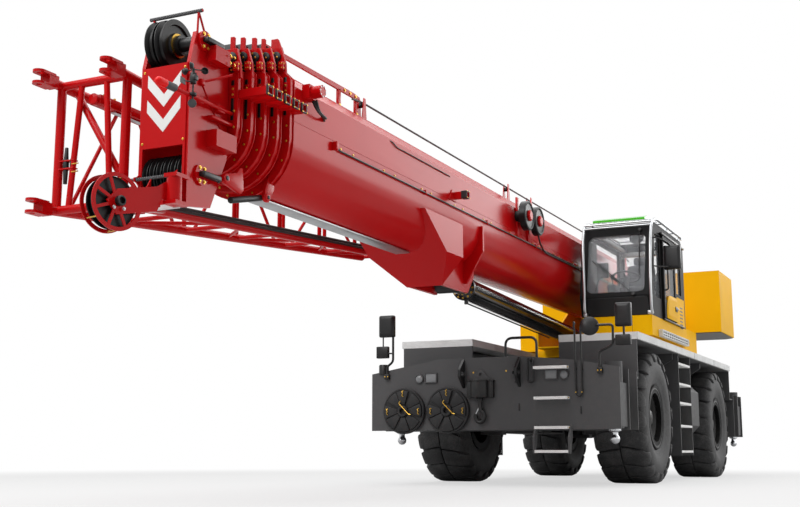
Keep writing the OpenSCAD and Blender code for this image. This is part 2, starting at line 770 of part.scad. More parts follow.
// Cab outline in X and Z, from the sill up: the windscreen leans back and the roof drops to the rear
cab_back = -0.04 * cab_l;
cab_front = cab_back + cab_l;
cab_sill = floor_top + 0.17 * cab_h;
cab_roof = floor_top + cab_h;
cab_side = [
    [cab_back, cab_sill], [0.96 * cab_l + cab_back, cab_sill], [cab_front, cab_sill + 0.16 * cab_h],
    [0.9 * cab_l + cab_back, cab_roof - 0.05 * cab_h], [0.82 * cab_l + cab_back, cab_roof],
    [0.07 * cab_l + cab_back, cab_roof], [cab_back, cab_roof - 0.07 * cab_h]
];
cab_out = cab_in + cab_w;
door_x0 = cab_back + 0.34 * cab_l;
door_x1 = cab_back + 0.66 * cab_l;
door_low = cab_sill + wall_t;
door_high = cab_roof - 0.1 * cab_h;
window_low = cab_sill + 0.175 * cab_h;
panel_top = cab_sill + 0.27 * cab_h;
panel_front = door_x0 - 1.2 * wall_t;

// A wall that follows the cab's outline and sides, between two depths
module cab_wall(d0, d1) {
    difference() {
        along_y(inset(cab_side, d0), cab_in + d0, cab_out - d0);
        along_y(inset(cab_side, d1), cab_in + d1, cab_out - d1);
    }
}

// The openings: windscreen, roof, rear and right windows, and two panes and the doorway on the left
module cab_openings() {
    y0 = cab_in + 1.6 * wall_t;
    y1 = cab_out - 1.6 * wall_t;
    over = 2 * wall_t;
    block([cab_front - 0.3 * cab_l, y0, window_low], [cab_front + over, y1, door_high - 0.5 * wall_t]);
    block([cab_back - over, y0, window_low], [cab_back + over, y1, door_high]);
    block([cab_back + 0.12 * cab_l, y0, cab_roof - over], [cab_back + 0.76 * cab_l, y1, cab_roof + over]);
    block([cab_back + 0.1 * cab_l, cab_in - over, window_low], [door_x1, cab_in + over, door_high]);
    block([cab_back + 0.1 * cab_l, cab_out - over, panel_top + wall_t], [door_x0 - 2 * wall_t,
        cab_out + over, door_high]);
    along_y([[door_x1 + 2 * wall_t, window_low], [cab_front - 0.1 * cab_l, window_low],
        [cab_front - 0.18 * cab_l, door_high], [door_x1 + 2 * wall_t, door_high]], cab_out - over,
            cab_out + over);
}

module cab_doorway() {
    over = 2 * wall_t;
    block([door_x0, cab_out - over, door_low], [door_x1, cab_out + over, door_high]);
}

// Yellow tub under the cab, with the high panel on its left rear
module cab_base() {
    front = 0.96 * cab_l + cab_back;
    color(yellow) row() {
        difference() {
            block([cab_back, cab_in, floor_top], [front, cab_out, cab_sill]);
            block([cab_back + wall_t, cab_in + wall_t, floor_top - wall_t],
                [front - wall_t, cab_out - wall_t, cab_sill - wall_t]);
        }
        cab_panel(0);
    }
}

// The tub's high panel in the cab's left wall, with its rounded front corner
module cab_panel(gap) {
    r = 0.5 * (panel_top - cab_sill);
    n = 5;
    along_y(concat([[cab_back + wall_t - gap, cab_sill - wall_t / 2], [panel_front + gap,
        cab_sill - wall_t / 2]],
        [for (i = [0 : n]) let (a = 90 * i / n) [panel_front + gap - r + r * cos(a),
            panel_top + gap - r + r * sin(a)]],
        [[cab_back + wall_t - gap, panel_top + gap]]), cab_out - wall_t - gap, cab_out + gap);
}

module cab_frame() {
    color(black) row() difference() {
        cab_wall(0, wall_t);
        cab_openings();
        cab_doorway();
        cab_panel(slide_fit);
    }
}

module cab_glass() {
    color(glass_tint) row() intersection() {
        cab_wall(0.4 * wall_t, 0.4 * wall_t + glass_t);
        cab_openings();
    }
}

// Sliding door on the outside of the left wall, and its pane
module door_pane() {
    block([door_x0 + wall_t, cab_out, window_low], [door_x1 - wall_t, cab_out + wall_t,
        door_high - wall_t]);
}

module cab_door() {
    lap = 0.5 * wall_t;
    y0 = cab_out + slide_fit;
    color(black) row() difference() {
        block([door_x0 - lap, y0, door_low - lap], [door_x1 + lap, y0 + 0.8 * wall_t, door_high + lap]);
        door_pane();
    }
}

module door_glass() {
    y0 = cab_out + slide_fit + 0.4 * wall_t;
    color(glass_tint) row() intersection() {
        door_pane();
        block([door_x0, y0, door_low], [door_x1, y0 + glass_t, door_high]);
    }
}

// Seat, side consoles and steering column on the cab floor
module cab_interior() {
    floor = cab_sill + wall_t;
    mid = cab_in + cab_w / 2;
    seat_w = 0.26 * cab_w;
    seat_x = cab_back + 0.32 * cab_l;
    seat_z = floor + 0.24 * cab_h;
    cushion = 0.07 * cab_h;
    color(dark) row() {
        block([seat_x + cushion, mid - 0.6 * seat_w, floor], [seat_x + 0.18 * cab_l, mid + 0.6 * seat_w,
            seat_z]);
        block([seat_x, mid - seat_w, seat_z], [seat_x + 0.22 * cab_l, mid + seat_w, seat_z + cushion]);
        block([seat_x - cushion, mid - seat_w, seat_z], [seat_x, mid + seat_w, seat_z + 0.36 * cab_h]);
        block([cab_back + 0.72 * cab_l, mid - cushion, floor], [cab_back + 0.8 * cab_l, mid + cushion,
            floor + cushion]);
        bar([cab_back + 0.76 * cab_l, mid, floor + 0.5 * cushion],
            [cab_back + 0.68 * cab_l, mid, seat_z + 2 * cushion], 0.4 * cushion);
    }
}

// Guard bars on the roof and the left mirror on its arm
module cab_guard() {
    r = 0.35 * wall_t;
    z = cab_roof + 1.2 * r;
    x0 = cab_back + 0.1 * cab_l;
    x1 = cab_back + 0.8 * cab_l;
    mirror_x = cab_front - 0.12 * cab_l;
    mirror_z = cab_sill + 0.62 * cab_h;
    color(steel) row() {
        for (y = [cab_in + wall_t, cab_out - wall_t]) bar([x0, y, z - 0.2 * r], [x1, y, z - 0.2 * r], r);
        for (s = [0, 0.25, 0.5, 0.75, 1])
            bar([x0 + s * (x1 - x0), cab_in + wall_t, z], [x0 + s * (x1 - x0), cab_out - wall_t, z],
                0.7 * r);
        bar([mirror_x, cab_out, mirror_z], [mirror_x, cab_out + 2 * wall_t, mirror_z], r);
        block([mirror_x - r, cab_out + 2 * wall_t, mirror_z - 0.1 * cab_h],
            [mirror_x + r, cab_out + 5 * wall_t, mirror_z + 0.1 * cab_h]);
    }
}

// Base section: tube, foot, collar, pads, and the bracket for the lift cylinder
module boom_base() {
    tail = -foot_back - 3.9 * foot_r;
    collar = 0.55 * collar_pitch;
    cap = 0.08 * boom_w;
    cap_z = boom_low + 0.85 * boom_h;
    color(red) row() {
        difference() {
            union() {
                boom_shell(0, boom_t, tail, boom_reach);
                block([tail, -boom_w / 2, foot_z - 2 * foot_r], [2.2 * foot_r - foot_back, boom_w / 2,
                    foot_z + 2 * foot_r]);
            }
            block([tail - boom_t, 4 * boom_t - boom_w / 2, foot_z - 2 * foot_r], [3 * foot_r - foot_back,
                boom_w / 2 - 4 * boom_t, foot_z + 2 * foot_r]);
            cross_pin(-foot_back, foot_z, foot_r + run_fit, -boom_w, boom_w);
        }
        boom_shell(-section_step, boom_t / 2, boom_reach - collar, boom_reach);
        boom_shell(boom_t / 2, section_step - slide_fit, boom_reach - collar, boom_reach);
        collar_tab(boom_reach, boom_top + section_step, 0.15 * boom_h);
        block([0.965 * boom_reach - cap, boom_w / 2 - boom_t / 2, cap_z - 0.9 * cap],
            [0.965 * boom_reach + cap, boom_w / 2 + cap, cap_z + 0.9 * cap]);
        cross_pin(0.965 * boom_reach, cap_z, 0.8 * cap, boom_w / 2, boom_w / 2 + 2.4 * cap);
        difference() {
            lift_bracket();
            along_x(boom_outline(boom_t / 2), eye_x - 4 * rod_r, eye_x + 22 * rod_r);
        }
    }
}

// Bracket for the lift cylinder: a hollow wedge with wings up the boom's sides and two cheeks
module lift_bracket() {
    cheek = 0.42 * boom_w / 2;
    half = 0.555 * boom_w;
    low = eye_z - 1.5 * rod_r;
    knee = eye_x + 7.3 * rod_r;
    tip = eye_x + 17.6 * rod_r;
    top = low + 0.78 * boom_w;
    t = plate_t;
    wing = [[-1.2 * cheek, low], [1.2 * cheek, low], [half, low + 0.345 * boom_w], [half, top], [-half,
        top],
        [-half, low + 0.345 * boom_w]];
    side = [[knee, low], [tip, top], [knee, top]];
    back = [[cheek + cheek_t / 2, low + 0.12 * boom_w], [1.4 * cheek, low + 0.12 * boom_w], [0.98 * half,
        low + 0.55 * boom_w],
        [0.98 * half, low + 0.9 * boom_w], [cheek + cheek_t / 2, low + 0.9 * boom_w]];
    plate = [
        [eye_x - 2.2 * rod_r, eye_z + 0.5 * barrel_r], [eye_x - 0.3 * rod_r, low + 0.3 * t], [knee - t,
            low + 0.3 * t],
        [knee + 3 * t, low + 3 * t], [knee + 3 * t, boom_low + 0.3 * boom_w / 2],
        [eye_x - 2.2 * rod_r, boom_low + 0.3 * boom_w / 2]
    ];
    difference() {
        intersection() {
            along_x(wing, knee, tip);
            along_y(side, -half, half);
        }
        intersection() {
            along_x(inset(wing, t), knee - t, tip);
            translate([-2.4 * t, 0, 0]) along_y(side, -half, half);
        }
    }
    sides() {
        along_y(plate, cheek, cheek + cheek_t);
        along_x(back, eye_x + 0.6 * rod_r, eye_x + 0.6 * rod_r + cheek_t);
    }
}

module boom_section_at(n) {
    color(red) row() boom_section(n);
}

// Head section: tube, rear ring, side plates, front plate with its opening, and the nose's hinge
module boom_head() {
    d = head_inset;
    tail = -foot_back + 6 * collar_pitch;
    low = head_z - head_half;
    plate = 1.2 * plate_t;
    back = head_back + open_gap;
    edge = head_front - 0.4 * plate;
    face = head_half + 0.2 * plate;
    pin_x = head_front - 0.33 * head_reach;
    rail_x = head_front - 0.22 * head_reach;
    rail_z = low + 4.66 * head_half;
    side = [
        [back, low - 0.28 * head_half], [back + 0.38 * head_reach, low - 2.2 * head_half], [edge,
            low - 2.4 * head_half],
        [edge, low + 2.7 * head_half], [edge - 0.12 * head_reach, low + 3.85 * head_half],
        [back + 0.1 * head_reach, low + 3.7 * head_half], [back, low + 3.4 * head_half]
    ];
    color(red) row() {
        boom_shell(d, d + boom_t, tail, head_back + 0.1 * head_reach);
        boom_shell(d - section_step + boom_t + slide_fit, d + boom_t / 2, tail, tail + 0.55 * collar_pitch);
        sides() {
            along_y(side, head_half - plate, face);
            for (z = [head_pin_low, head_pin_top]) cross_pin(pin_x, z, 0.36 * head_half,
                face - 0.1 * plate, face + 0.7 * plate);
            for (x = [-0.3, 0.3]) bar([pin_x + x * head_half, head_half - 0.4 * plate,
                low + 3.7 * head_half],
                [rail_x, head_half - 0.4 * plate, rail_z], 0.3 * plate);
        }
        bar([rail_x, -head_half - plate, rail_z], [rail_x, head_half + plate, rail_z], 0.4 * plate);
        block([back + 0.02 * head_reach, face - 0.1 * plate, low - 0.1 * head_half],
            [back + 0.53 * head_reach, face + 0.45 * head_half, low + 0.5 * head_half]);
        block([back + 0.2 * head_reach, face - 0.1 * plate, low + 2.95 * head_half],
            [back + 0.58 * head_reach, face + 0.4 * head_half, low + 3.5 * head_half]);
        difference() {
            block([head_front - plate, 0.5 * plate - head_half, low - 2.36 * head_half],
                [head_front, head_half - 0.5 * plate, low + 2.64 * head_half]);
            block([head_front - 2 * plate, 1.25 * plate - head_half, low - 1.85 * head_half],
                [head_front + plate, head_half - 1.25 * plate, low - 0.25 * head_half]);
        }
        for (z = [nose_high, nose_low - plate]) difference() {
            block([head_front - 0.5 * plate, 0.6 * head_half, z], [nose_x + 2 * nose_r, 1.12 * head_half,
                z + plate]);
            translate([nose_x, nose_y, z - plate]) cylinder(h = 3 * plate, r = 0.8 * nose_r);
        }
        bar([nose_x, nose_y, nose_low - 0.9 * plate], [nose_x, nose_y, nose_high + 0.9 * plate], nose_r);
    }
}

nose_r = 0.13 * head_half;
nose_low = head_z - 3.3 * head_half;
nose_high = head_z - 2.5 * head_half;
hub_z = head_z - 3.66 * head_half;
head_pin_low = head_z - 2.17 * head_half;
head_pin_top = head_z + 2.62 * head_half;

// Upper and lower sheaves with their pins
module head_sheaves() {
    in = head_half - 1.2 * plate_t;
    x = head_front - 0.33 * head_reach;
    color(black) row() {
        cross_pin(x, head_pin_low, 0.3 * head_half, -in, in);
        for (i = [-2.5 : 1 : 2.5]) let (y = i * in / 3) {
            cross_pin(x, head_pin_low, 0.56 * head_half, y - 0.12 * in, y + 0.12 * in);
            for (e = [-0.12 * in, 0.08 * in]) cross_pin(x, head_pin_low, 0.7 * head_half, y + e,
                y + e + 0.04 * in);
        }
        cross_pin(x, head_pin_top, 0.24 * head_half, -in, in);
        for (y = [-0.75 * in, -0.27 * in]) {
            cross_pin(x, head_pin_top, 0.68 * head_half, y - 0.19 * in, y + 0.19 * in);
            for (e = [-0.19 * in, 0.13 * in]) cross_pin(x, head_pin_top, 0.85 * head_half, y + e,
                y + e + 0.06 * in);
        }
    }
}

// Folded nose: a hinge barrel, two arms and the sheave's guard
module aux_nose() {
    t = 0.06 * head_half;
    rise = hub_z + 0.42 * head_half;
    drop = hub_z - 0.42 * head_half;
    arm = [[0, nose_low + 4 * slide_fit], [3.1 * nose_r, nose_low + 4 * slide_fit], [0.6 * head_half,
        drop + 0.35 * head_half], [hub_x, drop], [hub_x + 0.4 * head_half, hub_z],
        [hub_x, rise], [0.6 * head_half, rise + 0.35 * head_half], [0, nose_high - 4 * slide_fit]];
    short_arm = [for (p = arm) [max(p.x, 0.4 * head_half), p.y]];
    color(red) row() at_nose() {
        difference() {
            union() {
                translate([0, 0, nose_low + slide_fit]) cylinder(h = nose_high - nose_low - 2 * slide_fit,
                    r = 2 * nose_r);
                along_y(arm, nose_near - t, nose_near);
            }
            translate([0, 0, nose_low - nose_r]) cylinder(h = nose_high - nose_low + 2 * nose_r,
                r = nose_r + run_fit);
        }
        along_y(short_arm, nose_far - t, nose_far);
        block([0.45 * head_half, nose_far - 0.5 * t, hub_z + 0.1 * head_half], [0.45 * head_half + t,
            nose_near - 0.5 * t, rise + 0.2 * head_half]);
        cross_pin(hub_x, hub_z, nose_r, nose_far - 1.5 * t, nose_near + 1.5 * t);
        for (y = [nose_near, nose_far]) {
            difference() {
                cross_pin(hub_x, hub_z, guard_r, y - 0.9 * t, y - 0.1 * t);
                cross_pin(hub_x, hub_z, 0.86 * guard_r, y - 2 * t, y + 2 * t);
            }
        }
        for (a = [20, 70, 115, 225, 290, 335]) translate([hub_x, 0, hub_z]) rotate([0, a, 0])
            block([1.2 * nose_r, nose_near - 0.8 * t, -0.4 * nose_r], [0.9 * guard_r, nose_near - 0.2 * t,
                0.4 * nose_r]);
    }
}

// Nose pieces are drawn straight ahead of their hinge and turned with it
nose_near = -0.1 * head_half;
nose_far = -0.72 * head_half;
module at_nose() {
    translate([nose_x, nose_y, 0]) rotate([0, 0, -nose_turn]) children();
}

module aux_sheave() {
    t = 0.06 * head_half;
    y0 = nose_far + 2 * t;
    y1 = nose_near - 3 * t;
    color(black) row() at_nose() difference() {
        union() {
            cross_pin(hub_x, hub_z, 0.68 * head_half, y0, y1);
            for (y = [y0, y1 - t]) cross_pin(hub_x, hub_z, 0.84 * head_half, y, y + t);
        }
        cross_pin(hub_x, hub_z, nose_r + run_fit, nose_far, nose_near);
    }
}

// Stowed jib: four chords that narrow to the rear, battens, diagonals, forks in front and shelves
jib_bays = 6;
jib_front = head_front - 0.3 * boom_w;
jib_tail = boom_reach - 4.6 * boom_w;
function jib_at(x, out, up) = let (
        s = (x - jib_tail) / (jib_front - jib_tail),
        inner = -boom_w / 2 - 3.4 * chord_r,
        outer = -1.05 * boom_w - s * 0.42 * boom_w,
        low = boom_low + 0.12 * boom_h - s * 0.29 * boom_h,
        high = boom_low + 0.55 * boom_h + s * 0.26 * boom_h
    ) [x, out == 1 ? outer : inner, up == 1 ? high : low];

// Two level ears for an upright pin, at the front of a chord
module jib_fork() {
    w = 1.3 * chord_r;
    ear = 0.5 * chord_r;
    gap = 0.9 * chord_r;
    reach = 5 * chord_r;
    block([-chord_r, -0.9 * w, -gap - 0.6 * ear], [1.6 * chord_r, 0.9 * w, gap + 0.6 * ear]);
    for (z = [gap, -gap - ear]) difference() {
        union() {
            block([0, -w, z], [reach, w, z + ear]);
            translate([reach, 0, z]) cylinder(h = ear, r = 1.02 * w);
        }
        translate([reach, 0, z - ear]) cylinder(h = 3 * ear, r = 0.45 * w);
    }
}

module jib() {
    step = (jib_front - jib_tail) / jib_bays;
    stations = [for (i = [0 : jib_bays]) jib_tail + i * step];
    thin = 0.5 * chord_r;
    off = 3 * chord_r;
    shelf = 1.2 * chord_r;
    color(red) row() {
        for (up = [0, 1]) for (out = [0, 1]) {
            bar(jib_at(jib_tail, out, up), jib_at(jib_front + off, out, up), chord_r);
            translate(jib_at(jib_front + off, out, up)) jib_fork();
        }
        for (i = [0 : jib_bays]) let (x = stations[i], r = i == jib_bays ? 0.9 * chord_r : thin) {
            for (up = [0, 1]) bar(jib_at(x, 0, up), jib_at(x, 1, up), 0.95 * r);
            for (out = [0, 1]) bar(jib_at(x, out, 0), jib_at(x, out, 1), r);
        }
        for (i = [0 : jib_bays - 1]) let (a = i % 2, x0 = stations[i] + off, x1 = stations[i + 1] - off) {
            bar(jib_at(x0, 1, a), jib_at(x1, 1, 1 - a), 0.8 * thin);
            bar(jib_at(x0, a, 0), jib_at(x1, 1 - a, 0), 0.8 * thin);
        }
        let (p = jib_at(jib_front, 0, 1), q = jib_at(jib_front, 1, 1)) for (out = [0, 1])
            bar((p + q) / 2 + [0, (0.5 - out) * 2 * off, 0], jib_at(jib_front, out, 0) + [0,
                (out - 0.5) * 2 * off, 0], 1.2 * thin);
        for (x = [stations[1] + off, stations[4] + off]) let (p = jib_at(x, 0, 1))
            block([x - 2 * shelf, p.y, p.z - shelf], [x + 2 * shelf, -boom_w / 2, p.z + shelf]);
    }
}

// Cable reels on the boom's left side
module boom_reels() {
    r = 0.22 * boom_w;
    y = boom_w / 2;
    color(black) row() for (p = [[0.4 * boom_reach, 0.76], [0.44 * boom_reach, 0.76]]) {
        cross_pin(p.x, boom_low + p.y * boom_h, r, y + 0.5 * r, y + 0.9 * r);
        cross_pin(p.x, boom_low + p.y * boom_h, 0.4 * r, y, y + 0.5 * r);
    }
}

// Lift cylinder, lying along the line from its base pin to the eye on the boom
lift_run = norm([eye_x - lift_fore, eye_z - lift_z]);
lift_tilt = atan2(eye_z - lift_z, eye_x - lift_fore);
module on_lift() {
    translate([lift_fore, 0, lift_z]) rotate([0, 90 - lift_tilt, 0]) children();
}

module lift_barrel() {
    pin = 0.45 * barrel_r + run_fit;
    tip = lift_run - 4.2 * rod_r;
    color(black) row() difference() {
        union() {
            on_lift() translate([0, 0, 1.4 * barrel_r]) cylinder(h = tip - 1.4 * barrel_r, r = barrel_r);
            on_lift() cylinder(h = 1.6 * barrel_r, r = 0.72 * barrel_r);
            cross_pin(lift_fore, lift_z, 0.95 * barrel_r, -0.7 * barrel_r, 0.7 * barrel_r);
        }
        on_lift() translate([0, 0, 2 * barrel_r]) cylinder(h = tip, r = rod_r + run_fit);
        cross_pin(lift_fore, lift_z, pin, -barrel_r, barrel_r);
    }
}

module lift_rod() {
    color(steel) row() {
        on_lift() translate([0, 0, 2.4 * barrel_r]) cylinder(h = lift_run - 2.4 * barrel_r, r = rod_r);
        cross_pin(eye_x, eye_z, 1.3 * rod_r, -0.36 * boom_w / 2, 0.36 * boom_w / 2);
    }
}

frame();
front_box();
rear_box();
decks();
deck_brackets();
engine_hood();
engine_block();
tanks();
ladders();
grab_rails();
axles();
lamps();
carrier_mirrors();
floats();
hook_holder();
knuckle(1, 1);  // knuckle_fl
knuckle(1, -1);  // knuckle_fr
knuckle(-1, 1);  // knuckle_rl
knuckle(-1, -1);  // knuckle_rr
tyre(1, 1);  // tyre_fl
tyre(1, -1);  // tyre_fr
tyre(-1, 1);  // tyre_rl
tyre(-1, -1);  // tyre_rr
rim(1, 1);  // rim_fl
rim(1, -1);  // rim_fr
rim(-1, 1);  // rim_rl
rim(-1, -1);  // rim_rr
beam_at(0);  // beam_fl
beam_at(1);  // beam_fr
beam_at(2);  // beam_rl
beam_at(3);  // beam_rr
jack_at(0);  // jack_fl
jack_at(1);  // jack_fr
jack_at(2);  // jack_rl
jack_at(3);  // jack_rr
turntable();
counterweight();
winches();
cab_base();
cab_frame();
cab_glass();
cab_interior();
cab_guard();
cab_door();
door_glass();
boom_base();
boom_section_at(2);  // boom_section_2
boom_section_at(3);  // boom_section_3
boom_section_at(4);  // boom_section_4
boom_section_at(5);  // boom_section_5
boom_head();
head_sheaves();
aux_nose();
aux_sheave();
jib();
boom_reels();
lift_barrel();
lift_rod();
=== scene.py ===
import json
import math

import bpy
from mathutils import Matrix, Vector


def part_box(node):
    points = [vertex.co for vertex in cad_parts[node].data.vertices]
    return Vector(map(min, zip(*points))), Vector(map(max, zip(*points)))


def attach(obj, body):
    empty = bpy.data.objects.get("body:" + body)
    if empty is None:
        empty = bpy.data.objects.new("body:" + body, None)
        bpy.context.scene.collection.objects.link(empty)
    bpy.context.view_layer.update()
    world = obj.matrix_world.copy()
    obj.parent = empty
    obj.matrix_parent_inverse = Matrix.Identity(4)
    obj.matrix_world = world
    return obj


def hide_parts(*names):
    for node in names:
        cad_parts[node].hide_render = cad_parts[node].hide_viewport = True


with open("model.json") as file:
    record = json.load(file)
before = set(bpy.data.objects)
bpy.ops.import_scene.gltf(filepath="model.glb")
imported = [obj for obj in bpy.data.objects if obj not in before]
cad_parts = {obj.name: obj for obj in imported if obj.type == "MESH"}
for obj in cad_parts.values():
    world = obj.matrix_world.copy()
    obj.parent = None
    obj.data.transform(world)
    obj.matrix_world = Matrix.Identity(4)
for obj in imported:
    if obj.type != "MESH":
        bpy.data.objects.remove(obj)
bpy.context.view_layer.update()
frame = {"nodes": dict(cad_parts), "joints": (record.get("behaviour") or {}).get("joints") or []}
nodes = frame["nodes"]

# The crane is measured from mid-wheelbase; the row's origin is the middle of its whole length
slew = next(j for j in frame["joints"] if j["name"] == "slew")
MID = -slew["pos_m"][0]
X, Y, Z = Vector((1, 0, 0)), Vector((0, 1, 0)), Vector((0, 0, 1))

# Wheel centres, and which way each corner lies: forward and left
AXLE_X, WHEEL_Y, WHEEL_Z = 2.335, 1.355, 0.9375
CORNERS = {"fl": (1, 1), "fr": (1, -1), "rl": (-1, 1), "rr": (-1, -1)}
SQUARE = ((-1, -1), (1, -1), (1, 1), (-1, 1))
# Height of the middle of the boom's rolled lower half, and how far each section lies inside the one before
BARREL_Z, SECTION_INSET = 3.15, 0.043
# Front of the first collar, and the step forward to each next one
COLLAR_X, COLLAR_STEP = 10.65, 0.14
# Pins of the boom head's sheaves
HEAD_PIN_X, LOWER_PIN_Z, UPPER_PIN_Z = 11.5852, 2.640, 3.766


def here(x, y, z):
    """A point counted from mid-wheelbase, on the ground, as a place in the row."""
    return Vector((x - MID, y, z))


def angles(count):
    """Angles at even steps, once round."""
    return [2 * math.pi * i / count for i in range(count)]


def shade(r, g, b):
    """A colour read as eight-bit sRGB, made linear."""
    return tuple((v / 12.92 if v <= 0.04045 else ((v + 0.055) / 1.055) ** 2.4)
                 for v in (r / 255, g / 255, b / 255)) + (1.0,)


class Tone:
    """A socket inside a material, so that shader maths reads as sums."""

    def __init__(self, coat, socket):
        self.coat = coat
        self.socket = socket

    def __add__(self, other):
        return self.coat.sum("ADD", self, other)

    def __radd__(self, other):
        return self.coat.sum("ADD", other, self)

    def __sub__(self, other):
        return self.coat.sum("SUBTRACT", self, other)

    def __rsub__(self, other):
        return self.coat.sum("SUBTRACT", other, self)

    def __mul__(self, other):
        return self.coat.sum("MULTIPLY", self, other)

    def __rmul__(self, other):
        return self.coat.sum("MULTIPLY", other, self)


class Coat:
    """A material while it is mixed: its nodes, its place on the piece and its shader."""

    def __init__(self, name):
        self.material = bpy.data.materials.new(name)
        self.material.use_nodes = True
        self.tree = self.material.node_tree
        self.shader = self.tree.nodes["Principled BSDF"]
        self.place = self.node("ShaderNodeTexCoord", out="Object")

    def node(self, kind, settings=None, sockets=None, out=0):
        made = self.tree.nodes.new(kind)
        for key, value in (settings or {}).items():
            setattr(made, key, value)
        for key, value in (sockets or {}).items():
            self.feed(made.inputs[key], value)
        return Tone(self, made.outputs[out])

    def feed(self, socket, value):
        if isinstance(value, Tone):
            self.tree.links.new(value.socket, socket)
        else:
            socket.default_value = value

    def sum(self, kind, a, b):
        return self.node("ShaderNodeMath", {"operation": kind}, {0: a, 1: b})

    def noise(self, scale, detail=3.0, rough=0.5, stretch=None):
        place = self.place
        if stretch:
            place = self.node("ShaderNodeMapping", None, {"Vector": place, "Scale": stretch})
        return self.node("ShaderNodeTexNoise", None,
                         {"Vector": place, "Scale": scale, "Detail": detail, "Roughness": rough}, out="Fac")

    def span(self, value, low, high):
        """0 below low, 1 above high, smooth between."""
        return self.node("ShaderNodeMapRange", {"interpolation_type": "SMOOTHSTEP"},
                         {"Value": value, "From Min": low, "From Max": high})

    def mix(self, factor, a, b):
        return self.node("ShaderNodeMix", {"data_type": "RGBA"}, {0: factor, 6: a, 7: b}, out=2)

    def bump(self, height, distance):
        self.set("Normal", self.node("ShaderNodeBump", None, {"Height": height, "Distance": distance},
                                     out="Normal"))

    def set(self, name, value):
        self.feed(self.shader.inputs[name], value)

    def axis(self, letter):
        return self.node("ShaderNodeSeparateXYZ", None, {0: self.place}, out=letter)


def darker(colour, by):
    """The same colour with less light."""
    return tuple(v * by for v in colour[:3]) + (1.0,)


DUST = shade(150, 142, 130)


def painted(name, colour, rough=0.3, gloss=0.3, coat=0.0, dust=0.10, peel=0.00025):
    """Sprayed paint: broad clouding, a dust film that gathers low down, and orange peel."""
    c = Coat(name)
    cloud = c.noise(0.8, 3.0)
    grain = c.noise(14.0, 6.0, 0.7)
    film = c.span(grain * 0.6 + cloud * 0.4, 0.46, 0.72) * (1.15 - c.span(c.axis("Z"), 0.4, 2.6))
    body = c.mix(c.span(cloud, 0.3, 0.7), darker(colour, 0.9), colour)
    c.set("Base Color", c.mix(film * dust, body, DUST))
    c.set("Roughness", rough + film * 0.18 + (grain - 0.5) * 0.06)
    c.set("Specular IOR Level", gloss)
    c.set("Coat Weight", coat)
    c.bump(c.noise(230.0, 2.0), peel)
    return c.material


def steel(name, colour, rough, brushed=(1.0, 1.0, 40.0)):
    """Bare or plated metal with fine drawn lines and stains."""
    c = Coat(name)
    lines = c.noise(30.0, 4.0, 0.6, brushed)
    stain = c.noise(3.0, 5.0, 0.65)
    c.set("Base Color", c.mix(c.span(stain, 0.35, 0.75), colour, darker(colour, 0.78)))
    c.set("Metallic", 1.0)
    c.set("Roughness", rough + (lines - 0.5) * 0.14 + c.span(stain, 0.5, 0.8) * 0.1)
    c.bump(lines, 0.0003)
    return c.material


def moulded(name, colour, rough, grain_scale=420.0, grain_depth=0.0004, scuff=0.12, gloss=0.4):
    """Rubber or plastic: fine grain, rubbed pale patches and dust."""
    c = Coat(name)
    patch = c.noise(4.5, 6.0, 0.68)
    worn = c.span(patch, 0.52, 0.78)
    c.set("Base Color", c.mix(worn * scuff, colour, DUST))
    c.set("Roughness", rough + worn * 0.12 - c.span(patch, 0.2, 0.5) * 0.05)
    c.set("Specular IOR Level", gloss)
    c.bump(c.noise(grain_scale, 3.0), grain_depth)
    return c.material


def tyre_wall():
    """Tyre rubber: dark in the grooves, grey with dust where the tread is rubbed, fine moulding lines."""
    c = Coat("tyre_rubber")
    patch = c.noise(3.5, 6.0, 0.7)
    grain = c.noise(60.0, 4.0, 0.6)
    worn = c.span(patch * 0.6 + grain * 0.4, 0.42, 0.66)
    c.set("Base Color", c.mix(worn * 0.4, shade(54, 54, 55), shade(122, 121, 120)))
    c.set("Roughness", 0.62 + worn * 0.2)
    c.set("Specular IOR Level", 0.35)
    c.bump(c.noise(320.0, 3.0) + grain * 0.6, 0.0012)
    return c.material


def deck_plate(name, top, walked):
    """Non-slip deck paint: coarse grit in the coating and walked-in grey."""
    c = Coat(name)
    walk = c.noise(2.2, 6.0, 0.66)
    grit = c.noise(160.0, 2.0, 0.5)
    c.set("Base Color", c.mix(c.span(walk, 0.42, 0.75) * 0.4, top, walked))
    c.set("Roughness", 0.55 + c.span(grit, 0.4, 0.7) * 0.25)
    c.bump(c.span(grit, 0.45, 0.65), 0.0016)
    return c.material


def pane(name, tint, cover):
    """Safety glass: mostly clear, a faint tint and dust along its lower edge."""
    c = Coat(name)
    haze = c.noise(5.0, 5.0, 0.7)
    c.set("Base Color", tint)
    c.set("Roughness", 0.02 + c.span(haze, 0.55, 0.85) * 0.08)
    c.set("Alpha", cover + c.span(haze, 0.5, 0.85) * 0.05)
    c.set("Specular IOR Level", 0.5)
    c.material.surface_render_method = "BLENDED"
    return c.material


def upholstery():
    """Woven seat cloth: crossing threads, nap and rubbed edges."""
    c = Coat("seat_cloth")
    warp = c.noise(900.0, 1.0, 0.5, (1.0, 0.08, 1.0))
    weft = c.noise(900.0, 1.0, 0.5, (0.08, 1.0, 0.08))
    nap = c.noise(18.0, 5.0, 0.7)
    c.set("Base Color", c.mix(c.span(warp + weft * 0.8 + nap * 0.4, 0.8, 1.35), shade(34, 35, 38),
                              shade(70, 71, 76)))
    c.set("Roughness", 0.82 + nap * 0.12)
    c.bump(warp + weft, 0.0008)
    return c.material


